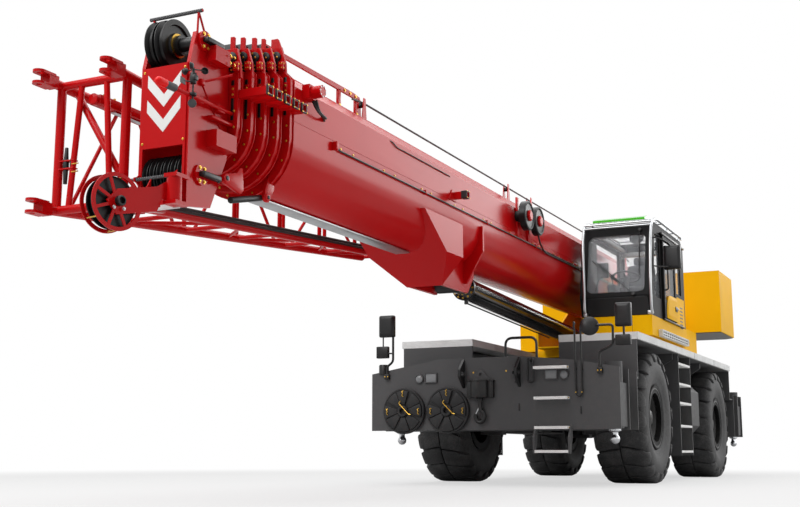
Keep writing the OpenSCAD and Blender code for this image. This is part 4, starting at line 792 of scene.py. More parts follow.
def head_details():
    """Boom head: white chevrons, pin keepers, guard rods, lamp arm, wind gauge and bolts."""
    body = "boom_head"
    half = plate([here(11.7698, 0, 3.03), here(11.7698, 0.165, 3.21), here(11.7698, 0.165, 3.315),
                  here(11.7698, 0, 3.135)], X * 0.003)
    vee = both_sides(half)
    fitted(copies(vee, [Matrix.Translation((0, 0, z)) for z in (-0.05, 0.16)]), "head_chevrons", white, body)

    keepers, heads = [], []
    for z in (LOWER_PIN_Z, UPPER_PIN_Z):
        keepers.append(slab(here(HEAD_PIN_X - 0.20, 0.262, z - 0.022),
                            here(HEAD_PIN_X + 0.045, 0.318, z + 0.022), 0.010, 3))
        keepers.append(rod(here(HEAD_PIN_X - 0.19, 0.290, z - 0.03), here(HEAD_PIN_X - 0.19, 0.290, z + 0.03),
                           0.012, 14, 0.003))
        for a in (60, 120, 240, 300):
            turn = math.radians(a)
            heads.append((here(HEAD_PIN_X + 0.062 * math.cos(turn), 0.262, z + 0.062 * math.sin(turn)), Y))
    fitted(both_sides(joined(keepers)), "head_pin_keepers", satin, body)
    fitted(both_sides(bolt_heads(heads, 0.012)), "head_pin_bolts", brass, body)

    fitted(pipe([here(11.81, -0.27, 2.60), here(11.81, 0.17, 2.60)], 0.015, 0.02), "head_rope_guard", rope,
           body)
    lugs = [plate([here(x, y - 0.008, z) for x, z in ((11.765, 2.545), (11.80, 2.575), (11.835, 2.585),
                                                      (11.835, 2.615), (11.80, 2.625), (11.765, 2.655))],
                  Y * 0.016, 0.003) for y in (-0.22, 0.15)]
    arm = rod(here(11.21, 0.276, 3.246), here(12.03, 0.296, 3.232), 0.017, 20, 0.004)
    foot = slab(here(11.32, 0.238, 3.215), here(11.42, 0.285, 3.275), 0.006)
    foot2 = slab(here(11.62, 0.238, 3.215), here(11.70, 0.288, 3.268), 0.006)
    tray = slab(here(11.22, 0.238, 3.13), here(11.52, 0.30, 3.155), 0.004)
    fitted(lugs + [arm, foot, foot2, tray], "head_lamp_arm", red, body)
    fitted(rod(here(12.02, 0.296, 3.232), here(12.155, 0.299, 3.230), 0.031, 24, 0.006), "head_lamp_socket",
           dark, body)
    dome = turned([(0.0001, 0.0), (0.034, 0.0), (0.034, 0.07), (0.030, 0.092), (0.018, 0.106), (0.0001, 0.110)],
                  here(12.15, 0.299, 3.230), X, 28)
    fitted(dome, "head_lamp", signal, body, 50)

    at = here(11.815, 0.315, 0)
    mast = [rod(at + Z * 3.18, at + Z * 3.34, 0.007, 12), rod(at + Z * 3.325, at + Z * 3.415, 0.026, 20, 0.006),
            rod(at + Z * 3.40, at + Z * 3.455, 0.012, 14, 0.003),
            rod(at + Z * 3.225, at + Z * 3.25, 0.030, 18, 0.004),
            slab(at + Vector((-0.024, -0.02, 3.35)), at + Vector((0.024, 0.034, 3.395)), 0.006)]
    for i in range(3):
        turn = math.radians(120 * i + 20)
        way = Vector((math.cos(turn), math.sin(turn), 0))
        middle = at + Z * 3.445
        mast.append(rod(middle, middle + way * 0.075, 0.005, 8))
        mast.append(turned([(0.0001, -0.030), (0.018, -0.025), (0.030, 0.0), (0.026, 0.0), (0.015, -0.019),
                            (0.0001, -0.025)], middle + way * 0.092, way.cross(Z), 18))
    mast += [rod(at + Z * 3.34, at + Vector((0.125, 0, 3.315)), 0.006, 8),
             plate([at + Vector(p) for p in ((0.10, -0.003, 3.285), (0.165, -0.003, 3.29),
                                             (0.165, -0.003, 3.34), (0.11, -0.003, 3.335))], Y * 0.006)]
    fitted(mast, "wind_gauge", satin, body)
    weight = rod(at + Vector((-0.012, -0.01, 3.165)), at + Vector((0.014, 0.004, 3.165)), 0.034, 26, 0.005)
    fitted(weight, "gauge_weight", dark, body)
    fitted(slab(here(11.772, -0.21, 2.335), here(11.79, 0.2, 2.375), 0.004), "head_bumper", pale, body)
    fitted(bolt_heads([(here(11.7705, y, z), X) for y in (-0.2, 0.2) for z in (2.42, 2.90, 3.50)], 0.0075),
           "head_plate_bolts", brass, body)
    stays = [rod(here(11.604, 0.245, 3.41), here(11.40, 0.40, 3.51), 0.010, 12),
             rod(here(11.30, 0.245, 3.06), here(11.60, 0.245, 3.40), 0.005, 8)]
    socket = slab(here(11.58, 0.238, 3.385), here(11.63, 0.268, 3.435), 0.006)
    fitted(stays + [socket], "head_stay_rods", red, body)
    boxes = [(here(x, 0.3525, z), Y) for x, z in ((11.30, 3.635), (11.30, 3.70), (11.36, 3.635), (11.36, 3.70))]
    fitted(bolt_heads(boxes, 0.008), "head_box_bolts", brass, body)

    # Rope guard over the top sheaves, a stranded bar between the brackets
    fitted(pipe([here(11.6468, 0.262, 4.0101), here(11.6468, -0.262, 4.0101)], 0.0165, 0.02), "head_top_rope",
           rope, body)

    # Lugs under the collars for the stowed jib, with their bosses and the strut between them
    lug = plate([here(x, 0.282, z) for x, z in ((11.07, 2.80), (11.11, 2.80), (11.16, 2.745), (11.32, 2.705),
                                                (11.362, 2.665), (11.325, 2.62), (11.10, 2.575),
                                                (11.055, 2.61))], Y * 0.03, 0.005, 2)
    boss = rod(here(11.317, 0.276, 2.665), here(11.317, 0.322, 2.665), 0.040, 24, 0.005)
    fitted([lug, boss], "jib_lug_front", red, "boom_section_5")
    fitted(rod(here(11.317, 0.27, 2.665), here(11.317, 0.330, 2.665), 0.020, 18, 0.003), "jib_lug_pin", satin,
           "boom_section_5")
    lug = plate([here(x, 0.282, z) for x, z in ((10.575, 2.86), (10.645, 2.86), (10.72, 2.70), (10.73, 2.63),
                                                (10.70, 2.59), (10.66, 2.59), (10.575, 2.72))], Y * 0.03, 0.005,
                2)
    boss = rod(here(10.685, 0.276, 2.63), here(10.685, 0.322, 2.63), 0.036, 24, 0.005)
    fitted([lug, boss], "jib_lug_rear", red, "boom_base")
    strut = rod(here(10.70, 0.255, 2.63), here(11.17, 0.255, 2.515), 0.028, 18, 0.005)
    fitted([strut, rod(here(10.685, 0.235, 2.63), here(10.685, 0.332, 2.63), 0.016, 16, 0.003)],
           "jib_lug_strut", hose, "boom_base")


def nose_details():
    """On the folded nose: hub cap, rope keeper pins and bolts."""
    turn = Matrix.Translation(here(11.8593, 0.19975, 0)) @ Matrix.Rotation(math.radians(-14), 4, "Z")
    hub_x, hub_z = 0.51, 2.29

    def there(x, y, z):
        return turn @ Vector((x, y, z))

    out = turn.to_3x3() @ Y
    cap = turned([(0.0001, 0.0), (0.040, 0.0), (0.040, 0.035), (0.034, 0.042), (0.026, 0.042), (0.024, 0.012),
                  (0.0001, 0.012)], there(hub_x, -0.004, hub_z), out, 28)
    fitted(cap, "nose_hub_cap", satin, "aux_nose")
    spots = [(hub_x + 0.212 * math.cos(a), hub_z + 0.212 * math.sin(a)) for a in (1.9, 2.9, 4.6, 5.6)]
    fitted([rod(there(x, -0.160, z), there(x, -0.030, z), 0.006, 10) for x, z in spots], "nose_rope_keepers",
           brass, "aux_nose")
    heads = [(there(hub_x + x, 0.0, hub_z + z), out) for x, z in ((0.045, -0.052), (-0.045, -0.052))]
    fitted(bolt_heads(heads, 0.010), "nose_bolts", zinc, "aux_nose")


def jib_details():
    """On the stowed jib: roller pairs on the front post, hose runs that partly stand in as painted shade along
    the near chord, stay beam, pad and pins.
    """
    rollers, clamps, pins = [], [], []
    for y in (-1.238, -1.160):
        rollers += [rod(here(11.50, y, 2.90), here(11.50, y, 3.06), 0.024, 16, 0.004, 0.015),
                    rod(here(11.50, y, 2.90), here(11.50, y, 2.735), 0.024, 16, 0.004, 0.017)]
        rollers.append(rod(here(11.50, y, 2.86), here(11.50, y, 2.95), 0.027, 16, 0.003))
    for z in (2.93, 2.86):
        clamps.append(slab(here(11.47, -1.325, z), here(11.53, -1.13, z + 0.012), 0.003))
        pins.append(rod(here(11.525, -1.15, z - 0.03), here(11.525, -1.08, z - 0.03), 0.006, 10))
    beam = slab(here(10.05, -1.06, 3.44), here(11.44, -0.94, 3.525), 0.008)
    stay = rod(here(11.43, -1.20, 3.55), here(11.43, -0.69, 2.77), 0.032, 20, 0.004)
    clamps += [beam, stay, rod(here(11.40, -1.0, 3.483), here(11.47, -1.0, 3.483), 0.05, 24, 0.006)]
    pins += [rod(here(x, y, 3.52), here(x, y, 3.545), 0.012, 10) for x in (11.36, 11.22, 11.08)
             for y in (-1.03, -0.97)]
    fitted(slab(here(10.2, -1.03, 3.425), here(11.2, -0.97, 3.441), 0.003), "jib_beam_pad", zinc, "boom_base")
    # Dark hoses along the jib's near chord: partly real hoses, partly painted shade for the chord's shaded side
    hose_and_shade_runs = [pipe([here(11.40, y + 0.030 * w, 2.513 + up), here(6.62, y + 0.030 * w, 2.829 + up)], r, 0.05)
           for y, up, r, w in ((-0.603, 0.052, 0.020, 0.6), (-0.603, 0.020, 0.014, 1.6))]
    fitted(rollers + hose_and_shade_runs, "jib_rollers", hose, "boom_base")
    fitted(clamps, "jib_roller_clamps", red, "boom_base")
    fitted(pins, "jib_roller_pins", brass, "boom_base")


def lift_details():
    """Lift cylinder: painted eye sleeve, gland ring with bolts and the guide rod below."""
    start, eye = here(0.6, 0, 2.305), here(5.934, 0, 2.5425)
    sleeve = turned([(0.04, -0.161), (0.139, -0.161), (0.1405, -0.15), (0.1405, 0.15), (0.139, 0.161),
                     (0.04, 0.161)], eye, Y, 40)
    fitted(sleeve, "lift_eye_sleeve", satin, "lift_rod")
    way = (eye - start).normalized()
    end = start + way * ((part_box("lift_barrel")[1][0] - start.x) / way.x - 0.004)
    ring = turned([(0.107, -0.07), (0.154, -0.07), (0.158, -0.064), (0.158, -0.010), (0.152, 0.004),
                   (0.107, 0.004)], end, way, 48)
    fitted(ring, "lift_gland", gloss_black, "lift_barrel")
    side = way.cross(Y).normalized()
    spots = [(end + way * 0.003 + (Y * math.cos(a) + side * math.sin(a)) * 0.131, way) for a in angles(12)]
    fitted(bolt_heads(spots, 0.010), "lift_gland_bolts", brass, "lift_barrel")
    lug = rod(end - way * 0.05 - Z * 0.13 + Y * 0.02, end - way * 0.05 - Z * 0.205 + Y * 0.02, 0.026, 18, 0.004)
    line = rod(end - Z * 0.19 + Y * 0.02, end - way * 3.4 - Z * 0.19 + Y * 0.02, 0.010, 12, 0.002)
    fitted([lug, line], "lift_guide_rod", satin, "lift_barrel")


boom_skins()
head_sheave_sets()
boom_collars()
boom_sides()
boom_top()
boom_reel_hoses()
head_details()
nose_details()
jib_details()
lift_details()


REARWARD = Matrix.Translation((-2 * MID, 0, 0)) @ Matrix.Diagonal((-1, 1, 1, 1))


def wheel_place(corner):
    """The middle of a wheel."""
    fore, left = CORNERS[corner]
    return Matrix.Translation(here(fore * AXLE_X, left * WHEEL_Y, WHEEL_Z))


def tyre_lug():
    """One wide lug: a sheet laid over the crown and down the shoulder, thickened and rounded."""
    rows = ((0.007, 0.9372), (0.10, 0.9375), (0.20, 0.937), (0.292, 0.9345), (0.342, 0.915), (0.370, 0.872),
            (0.381, 0.800))
    half = (8.35, 8.3, 8.15, 7.8, 6.9, 5.4, 3.0)
    alone()
    bpy.ops.mesh.primitive_grid_add(x_subdivisions=4, y_subdivisions=len(rows) - 1, size=2.0)
    lug = bpy.context.object
    for vertex in lug.data.vertices:
        row = round((vertex.co.y + 1) / 2 * (len(rows) - 1))
        y, r = rows[row]
        a = math.radians(5.0 * (y / 0.38) ** 1.5 - vertex.co.x * half[row])
        vertex.co = (r * math.sin(a), y, r * math.cos(a))
    pick(lug, "FACE")
    if lug.data.polygons[0].normal.z < 0:
        bpy.ops.mesh.flip_normals()
    alone(lug)
    for kind, settings in (("SOLIDIFY", {"thickness": 0.06, "offset": -1.0}),
                           ("BEVEL", {"width": 0.010, "segments": 2, "limit_method": "ANGLE",
                                      "angle_limit": math.radians(50)})):
        step = lug.modifiers.new("form", kind)
        for key, value in settings.items():
            setattr(step, key, value)
        bpy.ops.object.modifier_apply(modifier=step.name)
    return lug


def wheels():
    """Tyres with wide staggered lugs, lock rings, wheel nuts and hub bolts."""
    wall = [(0.390, 0.2446), (0.4515, 0.293), (0.484, 0.322), (0.50, 0.331), (0.512, 0.331), (0.56, 0.353),
            (0.63, 0.371), (0.70, 0.376), (0.77, 0.366), (0.83, 0.345), (0.868, 0.305), (0.884, 0.20),
            (0.886, 0.0)]
    carcass = turned(wall + [(r, -h) for r, h in wall[-2::-1]], (0, 0, 0), Y, 80)
    lugs = 20
    pitch = 2 * math.pi / lugs
    outer = copies(tyre_lug(), [Matrix.Rotation(i * pitch, 4, "Y") for i in range(lugs)])
    inner = twin(outer, Matrix.Rotation(0.12 * pitch, 4, "Y") @ MIRRORED)
    tyre = joined([carcass, outer, inner])
    lock = turned([(0.400, 0.300), (0.452, 0.300), (0.458, 0.316), (0.452, 0.331), (0.436, 0.334),
                   (0.424, 0.326), (0.400, 0.326)],
                  (0, 0, 0), Y, 64)
    nuts = bolt_heads([(Vector((0.30 * math.cos(a), 0.0865, 0.30 * math.sin(a))), Y) for a in angles(20)],
                      0.019)
    cap = bolt_heads([(Vector((0.145 * math.cos(a), 0.198, 0.145 * math.sin(a))), Y) for a in angles(12)],
                     0.013)
    hub = turned([(0.0001, 0.195), (0.085, 0.195), (0.085, 0.225), (0.07, 0.24), (0.0001, 0.243)], (0, 0, 0), Y,
                 32)
    fixings = joined([nuts, cap])
    for corner, (_, left) in CORNERS.items():
        place = wheel_place(corner) @ Matrix.Diagonal((1, left, 1, 1))
        body = f"wheel_{corner}"
        fitted(twin(tyre, place), f"tyre_tread_{corner}", rubber, body, 40, [f"tyre_{corner}"])
        fitted(twin(lock, place), f"lock_ring_{corner}", cab_black, body)
        fitted(twin(fixings, place), f"wheel_nuts_{corner}", zinc, body)
        fitted(twin(hub, place), f"hub_cap_{corner}", satin, body)
    for piece in (tyre, lock, fixings, hub):
        bpy.data.objects.remove(piece)


def float_pads():
    """Stowed outrigger floats: a rimmed disc, raised wedges, the socket, its locking rod and clips."""
    at = here(4.60, 0, 0.9985)
    disc = turned([(0.0001, 0.0), (0.305, 0.0), (0.311, 0.008), (0.311, 0.050), (0.303, 0.060), (0.288, 0.060),
                   (0.284, 0.054), (0.0001, 0.054)],
                  at, X, 56)
    socket = turned([(0.040, 0.050), (0.078, 0.050), (0.078, 0.096), (0.070, 0.106), (0.048, 0.106),
                     (0.040, 0.098)], at, X, 36)
    wedges = []
    for k in range(8):
        raised = k % 2
        low = math.radians(22 + 45 * k + (6 if raised else 1.2))
        high = math.radians(22 + 45 * (k + 1) - (1.2 if raised else 6))
        arc = [low + (high - low) * i / 5 for i in range(6)]
        rim = [at + Y * r * math.cos(a) + Z * r * math.sin(a)
               for r, turns in ((0.088, arc), (0.278, arc[::-1])) for a in turns]
        wedges.append(plate([p + X * 0.05 for p in rim], X * (0.036 if raised else 0.026), 0.006, 2))
    pad = joined([disc, socket] + wedges)
    pin = pipe([at + X * 0.112 + Y * y + Z * z for y, z in ((-0.02, 0.135), (-0.045, 0.105), (0.105, -0.045),
                                                            (0.135, -0.05))], 0.0075, 0.02)
    hooks = []
    for a in (90, 182, -2):
        mid = at + (Y * math.cos(math.radians(a)) + Z * math.sin(math.radians(a))) * 0.235 + X * 0.088
        hooks.append(pipe([mid + Y * y + Z * z + X * x
                           for x, y, z in ((0, 0.012, 0.04), (0.012, -0.01, 0.03), (0.012, 0.012, 0.005),
                                           (0.012, -0.008, -0.02), (0, 0.01, -0.04))], 0.0055, 0.02))
    rods = joined([pin] + hooks)
    shifts = [Matrix.Translation((0, y, 0)) for y in (-1.253, -0.600)]
    fitted(copies(pad, shifts), "float_pads", float_black, "chassis", 30, ["floats"])
    fitted(copies(rods, shifts), "float_pins", brass, "chassis")


def front_fittings():
    """On the front box: eyes, hook cover with its hook, handle, black drain slots painted as shade and bolts;
    gives the steps' ends.
    """
    eyes = []
    for y in (-0.379, 0.417):
        rim = along([here(x, y - 0.02, z) for x, z in ((4.597, 1.69), (4.76, 1.54), (4.76, 1.44),
                                                       (4.597, 1.29))], 6)
        hole = ring_points(here(4.685, y - 0.02, 1.49), X, -Z, 0.042, 24, 2.53)
        eyes.append(holed(rim, hole, Y * 0.04, 0.006))
    fitted(eyes, "tie_down_eyes", satin, "chassis")

    y0, y1 = -0.312, 0.064
    mid = (y0 + y1) / 2
    bulge = [(4.66 + 0.105 * math.sin(a), mid - 0.125 * math.cos(a))
             for a in (math.pi * i / 12 for i in range(13))]
    line = [(4.597, y0), (4.655, y0), (4.662, y0 + 0.012)] + bulge + [(4.662, y1 - 0.012), (4.655, y1),
                                                                      (4.597, y1)]
    cover = plate([here(x, y, 1.160) for x, y in line], Z * 0.225, 0.006, 2)
    flange = plate([here(x, y, 1.376) for x, y in [(4.597, y0 - 0.01), (4.672, y0 - 0.01)] +
                    [(x + 0.012, y) for x, y in bulge] + [(4.672, y1 + 0.01), (4.597, y1 + 0.01)]], Z * 0.016,
                   0.004)
    crown = [here(4.597, y, z) for y, z in ((mid - 0.15, 1.375), (mid + 0.15, 1.375), (mid + 0.026, 1.535),
                                            (mid - 0.026, 1.535))]
    hole = ring_points(here(4.597, mid, 1.47), Y, Z, 0.022, 24, math.radians(-135))
    top = holed(along(crown, 6), hole, X * 0.028, 0.003)
    fitted([cover, flange], "hook_cover", satin, "chassis", 30, ["hook_holder"])
    fitted(top, "hook_cover_plate", dark, "chassis", 30)
    x = 4.65
    bend = [(0.0, 1.20), (0.0, 1.05), (0.005, 1.00), (0.052, 0.955), (0.062, 0.90), (0.04, 0.85),
            (-0.005, 0.832), (-0.05, 0.855), (-0.066, 0.905), (-0.06, 0.94)]
    hook = pipe([here(x, mid + y, z) for y, z in bend], 0.027, 0.05, 3)
    shank = turned([(0.0001, 0.0), (0.042, 0.0), (0.042, 0.05), (0.03, 0.07), (0.0001, 0.07)],
                   here(x, mid, 1.115), Z, 24)
    latch = plate([here(x - 0.008, mid + y, z) for y, z in ((-0.068, 0.945), (-0.052, 0.945), (0.018, 1.06),
                                                            (-0.004, 1.07))], X * 0.016, 0.003)
    fitted([hook, shank], "stowed_hook", satin, "chassis", 50)
    fitted(latch, "hook_latch", zinc, "chassis")

    loop = pipe([here(4.60, 0.592, 1.63), here(4.655, 0.592, 1.63), here(4.655, 0.592, 1.655),
                 here(4.655, 0.555, 1.655), here(4.655, 0.555, 1.35), here(4.655, 0.63, 1.35),
                 here(4.655, 0.63, 1.655), here(4.655, 0.60, 1.655)], 0.014, 0.035)
    stay = rod(here(4.598, 0.592, 1.36), here(4.655, 0.592, 1.36), 0.012, 14)
    fitted([loop, stay], "step_handle", satin, "chassis")
    # Black strips stand for the drain slots: painted shade in place of the openings
    slot_shades = [slab(here(4.594, y - 0.011, z), here(4.606, y + 0.011, z + 0.10), 0.004)
             for y, z in ((0.41, 0.98), (1.25, 0.93))]
    fitted(slot_shades, "box_drain_slot_shade", satin, "chassis")
    marks = [(here(4.601, y, z), X) for y, z in ((-0.235, 1.50), (0.235, 1.51))]
    steps = [0.31, 0.51, 0.76, 1.02]
    ends = [(here(4.665, y + side * 0.002, s * 1.52 - 0.018), Y * side) for s in steps
            for y, side in ((1.1, 1), (0.65, -1))]
    fitted(bolt_heads(marks, 0.008), "front_box_bolts", brass, "chassis")
    return ends


def lamp_set():
    """Lamps of both boxes: a round and a square lens, each in its raised frame."""
    frames, glasses = [], []
    face = 4.598
    corners = [(0.765, 1.374), (0.948, 1.374), (0.948, 1.514), (0.765, 1.514)]
    shrunk = [(0.780, 1.389), (0.933, 1.389), (0.933, 1.499), (0.780, 1.499)]
    frames.append(holed(along([here(face, y, z) for y, z in corners]),
                        along([here(face, y, z) for y, z in shrunk]), X * 0.030, 0.004))
    glasses.append(slab(here(face, 0.778, 1.387), here(face + 0.020, 0.935, 1.501), 0.008))
    middle = here(face, 1.034, 1.436)
    frames.append(turned([(0.052, 0.0), (0.066, 0.0), (0.066, 0.022), (0.060, 0.030), (0.052, 0.030)], middle,
                         X, 36))
    glasses.append(turned([(0.0001, 0.0), (0.054, 0.0), (0.054, 0.018), (0.040, 0.025), (0.0001, 0.028)],
                          middle, X, 36))
    rim, glass = both_sides(joined(frames)), both_sides(joined(glasses))
    fitted(twin(rim, REARWARD), "rear_lamp_frames", dark, "chassis")
    fitted(twin(glass, REARWARD), "rear_lamps", signal, "chassis")
    fitted(rim, "front_lamp_frames", dark, "chassis")
    fitted(glass, "front_lamps", smoked, "chassis", 35, ["lamps"])


def mirror_shell(y, z0, z1, x, half):
    """A rounded mirror housing: a block with its back drawn in, and the glass on the driver's side."""
    shell = slab(here(x - 0.045, y - half, z0), here(x + 0.035, y + half, z1), 0.0)
    pick(shell, "FACE", lambda f: f.normal.x > 0.9)
    bpy.ops.mesh.inset(thickness=0.035)
    bpy.ops.transform.translate(value=(0.022, 0, 0))
    alone(shell)
    eased(shell, 0.018, 3)
    pick(shell, "FACE", lambda f: f.normal.x < -0.9 and f.area > 0.01)
    bpy.ops.mesh.inset(thickness=0.008)
    bpy.ops.mesh.extrude_region_move(TRANSFORM_OT_translate={"value": (0.006, 0, 0)})
    alone(shell)
    glass = slab(here(x - 0.042, y - half + 0.028, z0 + 0.028), here(x - 0.038, y + half - 0.028, z1 - 0.028),
                 0.001, 1)
    return shell, glass


def carrier_mirror_sets():
    """Driving mirrors on the front corners, with their posts, clamps and small boxes."""
    shells, glasses = [], []
    for y, half in ((1.845, 0.105), (-1.518, 0.115)):
        shell, glass = mirror_shell(y, 2.028, 2.334, 4.628, half)
        shells.append(shell)
        glasses.append(glass)
    posts = [pipe([here(4.628, 1.518, 1.47), here(4.628, 1.518, 1.72), here(4.628, 1.70, 1.80),
                   here(4.628, 1.705, 2.06), here(4.628, 1.50, 2.06)], 0.017, 0.05),
             pipe([here(4.628, 1.705, 1.87), here(4.628, 1.852, 1.87), here(4.650, 1.852, 1.93),
                   here(4.650, 1.850, 2.20)], 0.015, 0.03),
             pipe([here(4.628, -1.518, 1.47), here(4.628, -1.518, 1.62), here(4.628, -1.425, 1.68),
                   here(4.628, -1.425, 2.10)], 0.017, 0.05),
             pipe([here(4.646, -1.57, 1.80), here(4.646, -1.57, 2.20)], 0.010, 0.03),
             rod(here(4.628, -1.425, 1.80), here(4.646, -1.575, 1.80), 0.011, 12)]
    clamps = [slab(here(4.598, s * 1.518 - 0.035, 1.44), here(4.652, s * 1.518 + 0.035, 1.515), 0.008)
              for s in (1, -1)]
    clamps += [slab(here(4.632, 1.81, 2.135), here(4.682, 1.892, 2.205), 0.010),
               slab(here(4.630, -1.61, 2.14), here(4.680, -1.53, 2.21), 0.010)]
    boxes = [slab(here(4.59, 1.735, 1.79), here(4.66, 1.935, 1.925), 0.012),
             slab(here(4.60, -1.67, 1.735), here(4.67, -1.49, 1.90), 0.012)]
    cups = [turned([(0.0001, 0.0), (0.070, 0.0), (0.070, 0.12), (0.062, 0.135), (0.0001, 0.135)],
                   here(4.56, -1.60, 1.515), Z, 32)]
    dish = turned([(0.0001, -0.020), (0.05, -0.018), (0.100, -0.004), (0.124, 0.018), (0.124, 0.024),
                   (0.0001, 0.026)],
                  here(4.638, 1.40, 2.055), Vector((-0.92, -0.32, -0.10)), 40)
    fitted(shells + posts + clamps + boxes + cups + [dish], "carrier_mirror_sets", satin, "chassis", 35,
           ["carrier_mirrors"])
    fitted(glasses, "carrier_mirror_glasses", mirror, "chassis")
    heads = [(here(4.653, s * 1.518 + y, 1.478), X) for s in (1, -1) for y in (-0.022, 0.022)]
    fitted(bolt_heads(heads, 0.006), "mirror_clamp_bolts", brass, "chassis")


def grab_tubes():
    """Bent handrails of the front box, with their feet; gives the places of their bolts."""
    hoop = pipe([here(4.40, 0.156, 1.515), here(4.40, 0.156, 1.965), here(4.40, 0.596, 1.965),
                 here(4.40, 0.596, 1.515)], 0.018, 0.10)
    tall = pipe([here(4.618, 1.197, 2.09), here(4.66, 1.197, 2.115), here(4.66, 1.197, 2.06),
                 here(4.636, 1.197, 1.98), here(4.636, 1.197, 1.18), here(4.636, 1.251, 1.15),
                 here(4.636, 1.278, 1.18), here(4.636, 1.278, 2.05)], 0.013, 0.04)
    stays = [rod(here(4.597, y, z), here(4.636, y, z), 0.012, 14)
             for y, z in ((1.197, 1.24), (1.278, 1.24), (1.197, 1.50), (1.278, 1.50))]
    feet = [slab(here(4.36, y - 0.035, 1.512), here(4.44, y + 0.035, 1.532), 0.004) for y in (0.156, 0.596)]
    fitted([hoop, tall] + stays + feet, "bent_handrails", satin, "chassis", 40, ["grab_rails"])
    heads = [(here(4.40, y + d, 1.532), Z) for y in (0.156, 0.596) for d in (-0.026, 0.026)]
    heads += [(here(4.645, y, 1.205), X) for y in (1.197, 1.278)]
    return heads


def carrier_bolts(heads):
    """Small bolts of the handrails and the steps."""
    fitted(bolt_heads(heads, 0.007), "handrail_bolts", brass, "chassis")


def jack_feet():
    """Jack rods, ground and plated, with a neck and a ball end."""
    for corner in CORNERS:
        low, high = (Vector(v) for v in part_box(f"jack_{corner}"))
        mid = (low + high) / 2
        ball = low.z + 0.075
        line = [(0.0001, -0.062)] + [(0.062 * math.cos(a), 0.062 * math.sin(a))
                                     for a in (math.radians(d) for d in range(-75, 46, 15))]
        line += [(0.040, 0.060), (0.040, 0.085), (0.0795, 0.105), (0.0795, high.z - ball),
                 (0.0001, high.z - ball)]
        fitted(turned(line, (mid.x, mid.y, ball), Z, 36), f"jack_rod_{corner}", chrome, f"jack_{corner}", 40,
               [f"jack_{corner}"])


def deck_underside_shade():
    """Dark sheets under the decks, painted shade for their undersides, and the seams of their edges."""
    low, high = (Vector(v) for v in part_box("decks"))
    # The sheets are painted shade: they darken the pale decks from below
    sheets = [slab((low.x + 0.03, 1.02, low.z - 0.008), (high.x - 0.03, high.y - 0.03, low.z - 0.001), 0.002)]
    fitted(both_sides(joined(sheets)), "deck_underside_shade", underside_shade, "chassis")
    seams = [slab((x - 0.003, high.y - 0.0005, low.z + 0.004), (x + 0.003, high.y + 0.002, high.z - 0.004),
                  0.001, 1) for x in (low.x + 1.6, low.x + 3.3)]
    fitted(both_sides(joined(seams)), "deck_seams", dark, "chassis")


def rim_trims():
    """Lock ring, bolted flange and hub cap in every rim."""
    low, high = (Vector(v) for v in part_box("rim_fl"))
    edge, out = (high.z - low.z) / 2, 0.3234
    lock = turned([(0.80 * edge, out - 0.10), (0.95 * edge, out - 0.10), (0.972 * edge, out - 0.02),
                   (0.965 * edge, out + 0.004), (0.90 * edge, out + 0.006), (0.86 * edge, out - 0.035),
                   (0.80 * edge, out - 0.04)],
                  (0, 0, 0), Y, 72)
    dish = turned([(0.30 * edge, 0.08), (0.80 * edge, 0.10), (0.80 * edge, out - 0.075),
                   (0.70 * edge, out - 0.075), (0.62 * edge, out - 0.12), (0.60 * edge, 0.115),
                   (0.30 * edge, 0.12)], (0, 0, 0), Y, 72)
    cap = turned([(0.0001, 0.18), (0.25 * edge, 0.18), (0.27 * edge, 0.20), (0.26 * edge, 0.235),
                  (0.19 * edge, 0.26), (0.0001, 0.265)], (0, 0, 0), Y, 48)
    spots = [(Vector((r * math.cos(a), y, r * math.sin(a))), Y)
             for r, y, count in ((0.75 * edge, out - 0.076, 24), (0.23 * edge, 0.236, 8))
             for a in angles(count)]
    trim_set = joined([lock, dish, cap, bolt_heads(spots, 0.011)])
    for corner, (_, left) in CORNERS.items():
        place = wheel_place(corner) @ Matrix.Rotation(0.0 if left > 0 else math.pi, 4, "Z")
        fitted(twin(trim_set, place), f"rim_trim_{corner}", satin, f"wheel_{corner}", 40)
    bpy.data.objects.remove(trim_set)


jack_feet()
deck_underside_shade()
rim_trims()
wheels()
float_pads()
step_ends = front_fittings()
lamp_set()
carrier_mirror_sets()
carrier_bolts(grab_tubes() + step_ends)


def cushion(low, high, bulge, pull=0.012):
    """A sewn cushion: a block cut finely, its faces swelled and its sides pulled in between the corners."""
    low, high = Vector(low), Vector(high)
    alone()
    bpy.ops.mesh.primitive_cube_add(size=2.0)
    piece = bpy.context.object
    pick(piece, "FACE")
    bpy.ops.mesh.subdivide(number_cuts=9)
    alone(piece)
    mid, half = (low + high) / 2, (high - low) / 2
    for vertex in piece.data.vertices:
        u = vertex.co.copy()
        crown = [(1 - u[(i + 1) % 3] ** 4) * (1 - u[(i + 2) % 3] ** 4) for i in range(3)]
        reach = [half[i] * u[i] + (bulge[i] * u[i] * crown[i] if abs(u[i]) > 0.99 else 0.0) for i in range(3)]
        edge = sum(abs(c) > 0.99 for c in u)
        for i in range(3):
            if edge > 1 and abs(u[i]) > 0.99:
                reach[i] -= pull * u[i]
        vertex.co = mid + Vector(reach)
    alone(piece)
    step = piece.modifiers.new("form", "SUBSURF")
    step.levels = step.render_levels = 1
    bpy.ops.object.modifier_apply(modifier=step.name)
    return piece


